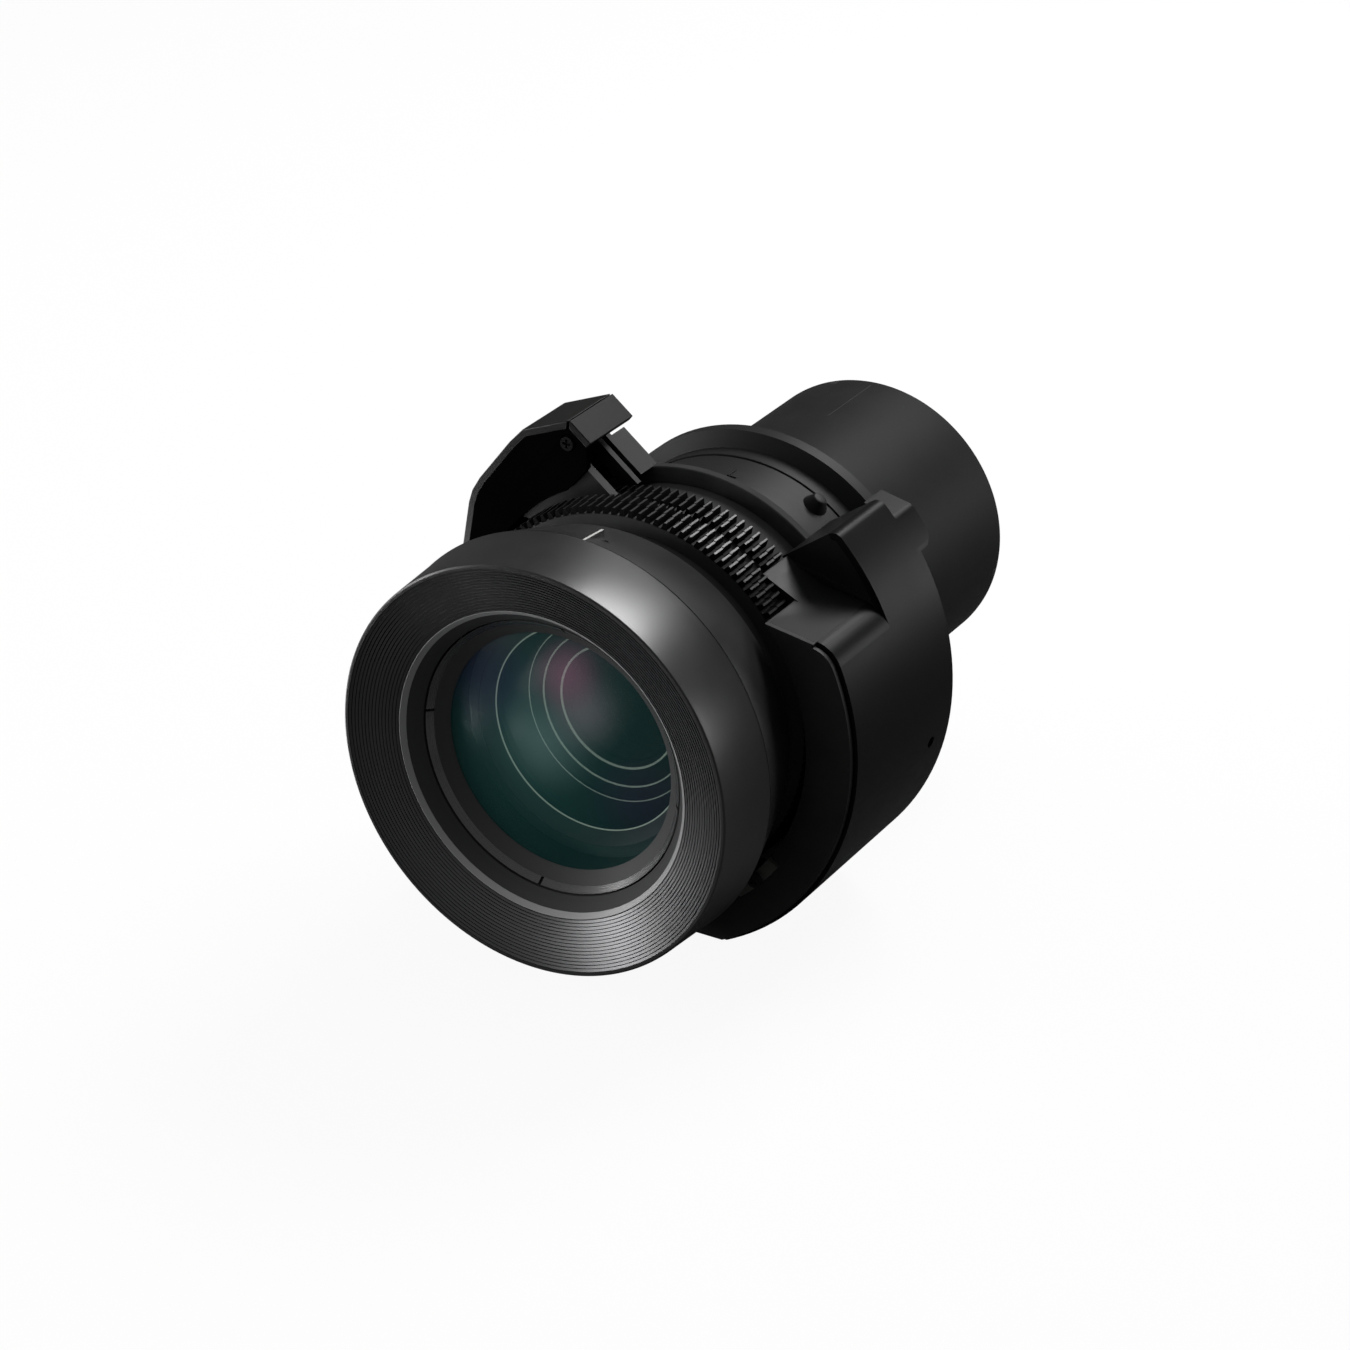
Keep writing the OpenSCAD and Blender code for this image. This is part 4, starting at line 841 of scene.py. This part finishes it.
@dataclass
class FocusGroup:
    """The retaining ring, bezel and lenses behind the hood. Sizes in mm.

    The profiles run as radius and distance behind the rim. The bezel's edge counts from the glass's edge.
    """

    ring_face: Profile = (
        (37.38, 9.5), (37.48, 9.6), (37.48, 11.1), (36.5, 11.1), (36.5, 12.1), (35.9, 12.1), (35.9, 11.1),
    )
    bezel_foot: Profile = ((35.88, 11.1), (35.88, 12.1), (36.5, 12.1))
    notches: int = 4
    notch_half: float = 0.4
    notch_angle: float = 6.0
    glass_r: float = 32.6
    glass_y: float = 13.9
    bezel_edge: Profile = ((0.0, -0.03), (0.0, -0.12), (0.08, -0.2))
    lens_r: float = 34.5
    front_curve: float = 110.0
    hollow_curve: float = 45.5
    hollow_r: float = 31.4
    thick: float = 3.4
    spacer_y: float = 25.2
    spacer_face: Profile = (
        (31.5, 25.2), (34.48, 25.2), (34.48, 30.45), (28.5, 28.8), (28.4, 28.7), (28.4, 28.4), (28.55, 28.2),
    )
    spacer_rim: Profile = ((28.05, 28.25), (28.38, 28.2), (28.38, 28.65), (28.2, 28.6))
    second_curve: float = 138.0
    second_y: float = 30.5
    second_t: float = 4.7

    @property
    def vertex(self) -> float:
        """Gives where the front element crosses the axis, behind the rim."""
        return self.glass_y - sag(self.front_curve, self.glass_r)

    def notch(self, number: int) -> float:
        """Gives a notch's angle in degrees."""
        return self.notch_angle + 360 / self.notches * number

    def ring(self) -> BMesh:
        """Makes the sloping retaining ring with its four spanner notches cut through.

        Returns:
            The shape.
        """
        shape = spun(self.ring_face)
        for i in range(self.notches):
            normal = around(self.notch(i)) @ Vector((1.0, 0.0, 0.0))
            for side in (-self.notch_half, self.notch_half):
                bmesh.ops.bisect_plane(
                    shape, geom=shape.verts[:] + shape.edges[:] + shape.faces[:], dist=ON_PLANE,
                    plane_co=normal * side * MM, plane_no=normal,
                )
        doomed = []
        for face in shape.faces:
            middle = face.calc_center_median()
            for i in range(self.notches):
                local = around(-self.notch(i)) @ middle
                if abs(local.x) < self.notch_half * MM and local.z > 0:
                    doomed.append(face)
        bmesh.ops.delete(shape, geom=doomed, context="FACES")
        open_edges = [e for e in shape.edges if e.is_boundary]
        bmesh.ops.contextual_create(shape, geom=open_edges)
        bmesh.ops.recalc_face_normals(shape, faces=shape.faces[:])
        return shape

    def bezel(self) -> BMesh:
        """Makes the matt cone between the retaining ring and the glass.

        Returns:
            The shape.
        """
        edge = self.vertex + sag(self.front_curve, self.lens_r)
        outline = list(self.bezel_foot)
        outline += [(self.bezel_foot[-1][0], edge), (self.lens_r, edge - LAP)]
        outline += [(self.glass_r + out, self.glass_y + y) for out, y in self.bezel_edge]
        return spun(outline)

    def lens(self) -> BMesh:
        """Makes the front element, domed in front and hollow behind.

        Returns:
            The shape.
        """
        back = self.spacer_y - LAP
        hollow = dome(self.vertex + self.thick, self.hollow_curve, self.hollow_r)
        outline = dome(self.vertex, self.front_curve, self.lens_r)
        outline += [(self.lens_r, back), (self.hollow_r, back)]
        outline += [(r, y) for r, y in reversed(hollow) if y < back]
        return spun(outline)

    def second(self) -> BMesh:
        """Makes the second element.

        Returns:
            The shape.
        """
        start = self.second_y - sag(self.second_curve, self.lens_r)
        back = self.second_y + self.second_t
        outline = dome(start, self.second_curve, self.lens_r)
        outline += [(self.lens_r, back), (0.0, back)]
        return spun(outline)

    def build(self, shop: Workshop) -> None:
        """Makes and places all pieces of the focus group.

        Args:
            shop: makes the pieces and keeps their materials.
        """
        body = Body.FOCUS_GROUP
        # A fine ring that carries the painted highlight on the spacer's inner edge
        shop.piece("spacer_edge_highlight", spun(self.spacer_rim), body, EDGE_HIGHLIGHT_PAINT)
        shop.piece(
            "spanner_ring", self.ring(), body, RING_METAL, ("retaining_ring",), SHARP_DETAIL
        )
        shop.piece("glass_bezel", self.bezel(), body, BEZEL, ("front_bezel",))
        shop.piece("front_element", self.lens(), body, FRONT_GLASS, ("front_lens",))
        shop.piece("second_element", self.second(), body, SECOND_GLASS, ("second_lens",))
        shop.piece("sloping_spacer", spun(self.spacer_face), body, SPACER_METAL, ("front_spacer",))
        shop.dress("focus_cell", FLOCKED)
        shop.dress("focus_pins", BRASS)
        shop.dress("focus_lock_ring", FLOCKED)


@dataclass
class ToothedRing:
    """A turning ring with two staggered rows of teeth. Sizes in mm.

    A share is a distance from a tooth's middle, as a part of the tooth pitch. Lands are the teeth's tops, in
    a lighter, glossier finish than the darker teeth: painted light on the tops and painted shade on the
    flanks and roots.
    """

    node: str
    body: Body
    count: int
    teeth_y: float
    face: float
    hub_y: float
    hub_end: float
    module: float = 0.8
    slit: float = 0.2
    hub_r: float = 46.8
    hub_edge: float = 0.15
    bore_r: float = 43.06
    groove_r: float = 45.2
    groove_wall: float = 1.4
    stagger: float = 0.07
    drop: float = 0.12
    root_depth: float = 1.25
    foot_depth: float = 0.3
    foot_share: float = 0.36
    root_share: float = 0.34
    tip_share: float = 0.16
    land_share: float = 0.11
    land_foot_share: float = 0.12
    land_rise: float = 0.03
    land_t: float = 0.2
    land_inset: float = 0.1

    @property
    def root_r(self) -> float:
        """Gives the radius between the teeth."""
        return self.module * (self.count / 2 - self.root_depth)

    @staticmethod
    def mirrored(half: Outline) -> Outline:
        """Completes half an outline, given from foot to tip."""
        return [(r, -share) for r, share in half] + half[::-1]

    def row(self, shares: Outline, y0: float, y1: float, start: float) -> BMesh:
        """Repeats one outline round the ring.

        Args:
            shares: the outline as radius and share of the pitch.
            y0: front end behind the rim.
            y1: rear end.
            start: angle of the first tooth, in degrees.

        Returns:
            The shape.
        """
        pitch = FULL_TURN / self.count
        shape = bmesh.new()
        corners = []
        for radius, share in shares:
            angle = share * pitch
            place = Vector((radius * math.sin(angle), y0 - SEAT_Y, radius * math.cos(angle)))
            corners.append(shape.verts.new(place * MM))
        face = shape.faces.new(corners)
        grown = bmesh.ops.extrude_face_region(shape, geom=[face])
        far = [v for v in grown["geom"] if isinstance(v, bmesh.types.BMVert)]
        bmesh.ops.translate(shape, vec=(0, (y1 - y0) * MM, 0), verts=far)
        bmesh.ops.recalc_face_normals(shape, faces=shape.faces[:])
        bmesh.ops.spin(
            shape, geom=shape.verts[:] + shape.edges[:] + shape.faces[:], cent=(0, 0, 0), axis=(0, 1, 0),
            angle=FULL_TURN * (self.count - 1) / self.count, steps=self.count - 1, use_merge=False,
            use_duplicate=True,
        )
        turn(shape, start, shape.verts[:])
        return shape

    def hub(self) -> BMesh:
        """Makes the hub with its web, root circles and pin groove.

        Returns:
            The shape.
        """
        root = self.root_r
        web = root - self.slit
        row = (self.face - self.slit) / 2
        end = self.teeth_y + self.face
        groove_y = self.hub_y + self.groove_wall
        groove_end = self.hub_end - self.groove_wall
        return spun([
            (self.bore_r, self.hub_y), (self.hub_r - self.hub_edge, self.hub_y),
            (self.hub_r, self.hub_y + self.hub_edge), (self.hub_r, self.teeth_y), (root, self.teeth_y),
            (root, self.teeth_y + row), (web, self.teeth_y + row), (web, end - row), (root, end - row),
            (root, end), (self.hub_r, end), (self.hub_r, self.hub_end), (self.bore_r, self.hub_end),
            (self.bore_r, groove_end), (self.groove_r, groove_end), (self.groove_r, groove_y),
            (self.bore_r, groove_y),
        ])

    def build(self, shop: Workshop) -> None:
        """Makes and places the ring.

        Args:
            shop: makes the pieces and keeps their materials.
        """
        middle = self.teeth_y + self.face / 2
        root = self.root_r
        foot = root - self.foot_depth
        jog = -self.stagger * 360 / self.count
        teeth = []
        lands = []
        for y0, y1, angle, lower in (
            (self.teeth_y, middle, 0.0, self.drop), (middle, self.teeth_y + self.face, jog, 0.0),
        ):
            tip = self.module * (self.count / 2 + 1) - lower
            tooth = [(foot, self.foot_share), (root, self.root_share), (tip - self.land_rise, self.tip_share)]
            land = [(tip - self.land_t, self.land_foot_share), (tip, self.land_share)]
            teeth.append(self.row(self.mirrored(tooth), y0, y1, angle))
            lands.append(self.row(self.mirrored(land), y0 + self.land_inset, y1, angle))
        hub = (self.node,)
        shop.piece(self.node + "_hub", self.hub(), self.body, RING_MATT, hub, SHARP_DETAIL)
        # The darker teeth carry painted shade and the lighter lands carry painted light
        shop.piece(self.node + "_teeth", joined(teeth), self.body, TOOTH_SHADE_AND_SCREW_BLACK, (), SHARP_DETAIL)
        shop.piece(self.node + "_lands", joined(lands), self.body, LAND_PAINTED_LIGHT_GREY, (), SHARP_DETAIL)


@dataclass
class Barrel:
    """The fixed tube with its disc, boss pins and groove, the flange and the rear tube. Sizes in mm."""

    bore_r: float = 38.96
    bearing_r: float = 43.0
    shoulder_y: float = 82.4
    disc: Profile = (
        (43.01, 81.4), (51.05, 81.4), (51.3, 81.65), (51.3, 83.8), (51.1, 84.0), (44.81, 84.0),
        (44.81, 82.38), (43.01, 82.38),
    )
    tube_r: float = 44.8
    end_r: float = 45.2
    end_edge: float = 0.1
    groove_y: float = 106.9
    groove: float = 0.3
    groove_slope: float = 0.03
    flange_y: float = 112.1
    rear_r: float = 40.0
    plug_r: float = 39.0
    plug_y: float = 102.2
    rear_wall: float = 2.5
    rear_end_y: float = 182.7
    rear_round: float = 2.4
    round_steps: int = 6
    stop_y: float = 101.0
    boss_y: float = 103.4
    boss_angle: float = 31.3
    boss_faces: int = 40
    boss_top: Profile = ((0.0, 47.8), (1.5, 47.8), (1.75, 47.7), (1.9, 47.5))
    boss_foot: Profile = ((3.3, 0.3), (3.6, -0.5))
    mark_back: float = 11.4
    mark_size: Triple = (0.5, 4.4, 0.7)
    mark_sink: float = 0.05
    arm_size: Triple = (2.2, 0.5, 0.7)
    arm_place: float = 1.3
    arm_sink: float = 0.08
    mark_soft: float = 0.06
    mark_angle: float = 1.8
    seam_size: Triple = (0.22, 24.9, 0.3)
    seam_y: float = 166.0
    seam_sink: float = 0.13
    seam_angle: float = -0.6
    notch_size: Triple = (2.4, 2.4, 0.8)
    notch_y: float = 179.1
    notch_sink: float = 0.36
    notch_soft: float = 0.1
    notch_angle: float = 102.0

    def tube(self) -> BMesh:
        """Makes the tube with its fine groove and raised mark.

        Returns:
            The shape.
        """
        step = self.shoulder_y
        floor = self.tube_r - self.groove
        groove_end = self.groove_y + self.groove
        well = self.plug_r + LAP
        shape = spun([
            (self.bore_r, TUBE_FRONT_Y), (self.bearing_r, TUBE_FRONT_Y), (self.bearing_r, step),
            (self.tube_r, step), (self.tube_r, self.groove_y), (floor, self.groove_y + self.groove_slope),
            (floor, groove_end - self.groove_slope), (self.end_r - self.end_edge, groove_end),
            (self.end_r, groove_end + self.end_edge), (self.end_r, self.flange_y), (well, self.flange_y),
            (well, self.stop_y), (self.bore_r, self.stop_y),
        ])
        mark = bmesh.new()
        mark_y = self.groove_y - self.mark_back
        centre = (0.0, mark_y + self.mark_size[1] / 2, self.tube_r - self.mark_sink)
        add_block(mark, self.mark_size, centre, self.mark_angle, self.mark_soft)
        arm = bmesh.new()
        centre = (self.arm_place, mark_y + self.arm_size[1] / 2, self.tube_r - self.arm_sink)
        add_block(arm, self.arm_size, centre, self.mark_angle, self.mark_soft)
        return joined([shape, mark, arm])

    def bosses(self) -> BMesh:
        """Makes the three tapered bosses with rounded tops.

        Returns:
            The shape.
        """
        rings = list(self.boss_top) + [(r, self.tube_r + rise) for r, rise in self.boss_foot]
        angles = [self.boss_angle + THIRD_TURN * i for i in range(3)]
        return joined([stud(self.boss_y, angle, rings, self.boss_faces) for angle in angles])

    def rear_tube(self) -> BMesh:
        """Makes the long rear tube with its rounded end.

        Returns:
            The shape.
        """
        inner = self.rear_r - self.rear_wall
        outline = [
            (inner, self.plug_y), (self.plug_r, self.plug_y), (self.plug_r, SEAT_Y), (self.rear_r, SEAT_Y),
        ]
        for i in range(self.round_steps + 1):
            bend = math.radians(90 / self.round_steps * i)
            outline.append((
                self.rear_r - self.rear_round * (1 - math.cos(bend)),
                self.rear_end_y - self.rear_round * (1 - math.sin(bend)),
            ))
        outline.append((inner, self.rear_end_y))
        return spun(outline)

    def tube_marks(self) -> BMesh:
        """Makes the fine dark parting line, and three near-flush dark blocks near the tube's end that paint
        the shade inside small notches.

        Returns:
            The shape.
        """
        seam = bmesh.new()
        add_block(seam, self.seam_size, (0.0, self.seam_y, self.rear_r - self.seam_sink), self.seam_angle)
        parts = [seam]
        # Near-flush dark blocks that paint the shade inside the notches
        centre = (0.0, self.notch_y, self.rear_r - self.notch_sink)
        for i in range(3):
            notch = bmesh.new()
            angle = self.notch_angle + THIRD_TURN * i
            add_block(notch, self.notch_size, centre, angle, self.notch_soft)
            parts.append(notch)
        return joined(parts)

    def build(self, shop: Workshop) -> None:
        """Makes and places all pieces of the barrel.

        Args:
            shop: makes the pieces and keeps their materials.
        """
        body = Body.BARREL
        shop.piece("barrel_tube", self.tube(), body, ANODISED, ("main_barrel",))
        shop.piece("barrel_disc", spun(self.disc), body, RING_MATT)
        shop.piece("boss_pins", self.bosses(), body, ANODISED, ("guide_pins",))
        shop.dress("mount_flange", ANODISED)
        shop.piece("rear_tube", self.rear_tube(), body, TUBE_SATIN, ("rear_barrel",))
        shop.piece("rear_tube_marks", self.tube_marks(), body, NOTCH_SHADE_AND_SEAM_BLACK)
        for node in ("stop_plate", "rear_cell", "rear_retainer"):
            shop.dress(node, FLOCKED)
        shop.dress("flange_screws", STEEL)
        shop.dress("rear_lens", REAR_GLASS)


@dataclass
class ZoomCells:
    """The two moving zoom groups. Sizes in mm.

    Attributes:
        edges: radius, distance behind the rim and width of each fine ring that carries a painted highlight on
            an edge.
        front: how far an edge stands in front of that distance.
        outer_len: how far its outer side reaches behind it.
        inner_len: how far its inner side reaches behind it.
    """

    edges: tuple[Triple, ...] = ((24.9, 39.1, 0.25), (21.55, 40.8, 0.35), (16.9, 42.1, 0.5))
    front: float = 0.05
    outer_len: float = 0.2
    inner_len: float = 0.3

    def nose(self) -> BMesh:
        """Makes fine rings that carry the painted highlights on the edges of the variator's nose.

        Returns:
            The shape.
        """
        parts = []
        for radius, y, width in self.edges:
            outer = radius + width
            parts.append(spun([
                (radius, y - self.front), (outer, y - self.front), (outer, y + self.outer_len),
                (radius, y + self.inner_len),
            ]))
        return joined(parts)

    def build(self, shop: Workshop) -> None:
        """Makes and places the zoom groups' pieces.

        Args:
            shop: makes the pieces and keeps their materials.
        """
        shop.dress("variator_cell", FLOCKED)
        # Fine rings that carry the painted highlights on the nose's edges
        shop.piece("nose_edge_highlights", self.nose(), Body.VARIATOR, EDGE_HIGHLIGHT_PAINT)
        shop.dress("variator_lens", INNER_GLASS)
        shop.dress("compensator_lens", INNER_GLASS)
        for node in ("variator_retainer", "compensator_cell", "compensator_retainer"):
            shop.dress(node, FLOCKED)
        for node in ("variator_pins", "compensator_pins"):
            shop.dress(node, BRASS)


@dataclass
class Covers:
    """The two side covers with their plates, tab, cap and rails. Sizes in mm."""

    edge: float = 0.25
    fine_edge: float = 0.12

    def build(self, shop: Workshop) -> None:
        """Rounds and dresses the covers' pieces.

        Args:
            shop: makes the pieces and keeps their materials.
        """
        body = Body.BARREL
        shop.softened("left_cover", body, MOULDED_GLOSS, self.edge)
        for node in ("right_cover", "right_tab", "left_end_cap"):
            shop.softened(node, body, COVER_SATIN, self.edge)
        shop.softened("right_inner_frame", body, MOULDED_SATIN, self.fine_edge)
        shop.softened("right_front_plate", body, MATT_PLATE, self.fine_edge)
        shop.softened("left_front_plate", body, PLATE_BLACK, self.fine_edge)
        for node in ("left_block", "left_rail", "left_guide_plate"):
            shop.softened(node, body, MOULDED_SATIN, self.fine_edge)
        shop.dress("cover_bracket", ANODISED)
        shop.dress("stop_bracket", GREY_ALLOY)
        shop.dress("left_plate_screw", TOOTH_SHADE_AND_SCREW_BLACK)
        for node in ("bracket_screws", "stop_screw"):
            shop.dress(node, STEEL)


@dataclass(frozen=True)
class Lamp:
    """A soft rectangular lamp that points at the object.

    Attributes:
        name: its name.
        aim: direction from the object to the lamp.
        away: its distance in metres.
        size: its width and height in metres.
        watts: its power.
        mirrored: whether glossy surfaces show it.
    """

    name: str
    aim: Triple
    away: float
    size: tuple[float, float]
    watts: float
    mirrored: bool = True

    def hang(self) -> Object:
        """Puts the lamp in its place.

        Returns:
            The lamp.
        """
        light = bpy.data.lights.new(self.name, "AREA")
        light.shape = "RECTANGLE"
        light.size, light.size_y = self.size
        light.energy = self.watts
        made = placed(self.name, light)
        towards = Vector(self.aim).normalized()
        made.location = LIT_CENTRE + towards * self.away
        made.rotation_euler = towards.to_track_quat("Z", "Y").to_euler()
        made.visible_camera = False
        made.visible_glossy = self.mirrored
        return made


# The point that the lamps aim at, and the lamps round it
LIT_CENTRE = Vector((0.0, -0.03, 0.0))
LAMPS = (
    Lamp("back_softbox", (0.12, 0.67, 0.74), 1.1, (0.56, 0.36), 11.0),
    Lamp("front_card", (-0.2, -1.0, 0.1), 1.2, (1.0, 0.5), 3.0, False),
    Lamp("top_softbox", (-0.15, 0.1, 1.0), 1.2, (0.8, 0.8), 3.0),
    Lamp("left_softbox", (-0.84, -0.53, 0.14), 1.1, (0.6, 0.4), 9.0),
    Lamp("right_card", (0.62, 0.76, 0.12), 1.2, (0.4, 0.3), 3.0),
)
FLOOR_CARD = Lamp("floor_card", (-1.0, -0.5, 0.0), 0.3, (0.14, 0.09), 0.5)


@dataclass
class Studio:
    """Floor, lamps, world and camera. Places in metres, in the row frame.

    Attributes:
        floor_z: the floor's height, just under the object.
        floor_size: half the floor's width.
        floor_grey: the floor's shade for light that bounces off it.
        floor_seen_grey: its shade for the camera, which keeps a weak shadow.
        floor_shine: light that the camera sees added to it.
        card_place: where the card on the floor lies, above the floor.
        surround: strength of the soft light from all sides.
        eye: the camera's place.
        azimuth: its angle to the right of the front, in degrees.
        elevation: its angle above the level, in degrees.
        lens_mm: its focal length.
        sensor_mm: its sensor's width.
        reach: how far it sees.
    """

    floor_z: float = -0.0612
    floor_size: float = 6.0
    floor_grey: float = 0.12
    floor_seen_grey: float = 0.06
    floor_shine: float = 0.93
    card_place: Triple = (-0.195, -0.14, 0.004)
    surround: float = 0.12
    eye: Triple = (0.48307, -0.86432, 0.47805)
    azimuth: float = 30.607
    elevation: float = 26.895
    lens_mm: float = 108.17
    sensor_mm: float = 36.0
    reach: float = 50.0

    def floor(self) -> None:
        """Lays a pale floor that shows white and keeps the shadow."""
        shape = bmesh.new()
        bmesh.ops.create_grid(shape, x_segments=2, y_segments=2, size=self.floor_size)
        bmesh.ops.translate(shape, vec=(0, 0, self.floor_z), verts=shape.verts[:])
        mesh = bpy.data.meshes.new("studio_floor")
        shape.to_mesh(mesh)
        shape.free()
        made = placed("studio_floor", mesh)
        paint = bpy.data.materials.new("studio_floor_paint")
        tree = Tree(paint)
        out = tree.add("ShaderNodeOutputMaterial")
        matt = tree.add("ShaderNodeBsdfDiffuse", {"Color": (*[self.floor_grey] * 3, 1.0)})
        shine = tree.add("ShaderNodeEmission", {"Color": WHITE, "Strength": self.floor_shine})
        both = tree.add("ShaderNodeAddShader")
        grey = tree.add("ShaderNodeBsdfDiffuse", {"Color": (*[self.floor_seen_grey] * 3, 1.0)})
        tree.link(grey.outputs["BSDF"], both.inputs[0])
        tree.link(shine.outputs["Emission"], both.inputs[1])
        path = tree.add("ShaderNodeLightPath")
        mix = tree.add("ShaderNodeMixShader")
        tree.link(path.outputs["Is Camera Ray"], mix.inputs["Fac"])
        tree.link(matt.outputs["BSDF"], mix.inputs[1])
        tree.link(both.outputs["Shader"], mix.inputs[2])
        tree.link(mix.outputs["Shader"], out.inputs["Surface"])
        mesh.materials.append(paint)

    def world(self) -> None:
        """Sets a white background for the camera and a soft, dim surround for the object."""
        world = bpy.data.worlds.new("studio")
        bpy.context.scene.world = world
        tree = Tree(world)
        out = tree.add("ShaderNodeOutputWorld")
        seen = tree.add("ShaderNodeBackground", {"Color": WHITE, "Strength": 1.0})
        felt = tree.add("ShaderNodeBackground", {"Color": WHITE, "Strength": self.surround})
        path = tree.add("ShaderNodeLightPath")
        mix = tree.add("ShaderNodeMixShader")
        tree.link(path.outputs["Is Camera Ray"], mix.inputs["Fac"])
        tree.link(felt.outputs["Background"], mix.inputs[1])
        tree.link(seen.outputs["Background"], mix.inputs[2])
        tree.link(mix.outputs["Shader"], out.inputs["Surface"])

    def camera(self) -> None:
        """Sets the camera at the photograph's viewing angle."""
        data = bpy.data.cameras.new("studio_camera")
        data.lens = self.lens_mm
        data.sensor_width = self.sensor_mm
        data.clip_end = self.reach
        made = placed("studio_camera", data)
        az = math.radians(self.azimuth)
        el = math.radians(self.elevation)
        ahead = Vector((-math.sin(az) * math.cos(el), math.cos(az) * math.cos(el), -math.sin(el)))
        right = Vector((math.cos(az), math.sin(az), 0.0))
        up = right.cross(ahead)
        facing = Matrix((right, up, -ahead)).transposed()
        made.matrix_world = Matrix.Translation(Vector(self.eye)) @ facing.to_4x4()
        bpy.context.scene.camera = made

    def build(self) -> None:
        """Sets up the whole studio."""
        self.floor()
        for lamp in LAMPS:
            lamp.hang()
        low = FLOOR_CARD.hang()
        low.location = Vector(self.card_place) + Vector((0.0, 0.0, self.floor_z))
        low.rotation_euler = (math.pi, 0.0, 0.0)
        self.world()
        self.camera()
        bpy.context.scene.view_settings.view_transform = "Standard"


def main() -> None:
    """Builds every sub-assembly in order."""
    logging.basicConfig(level=logging.INFO, format="%(message)s")
    shop = Workshop()
    Hood().build(shop)
    FocusGroup().build(shop)
    ToothedRing(
        "focus_ring", Body.FOCUS_RING, count=130, teeth_y=48.8, face=8.4, hub_y=42.3, hub_end=57.5
    ).build(shop)
    ToothedRing(
        "zoom_ring", Body.ZOOM_RING, count=122, teeth_y=64.4, face=7.8, hub_y=57.8, hub_end=81.1
    ).build(shop)
    Barrel().build(shop)
    ZoomCells().build(shop)
    Covers().build(shop)
    Studio().build()


if __name__ == "__main__":
    main()
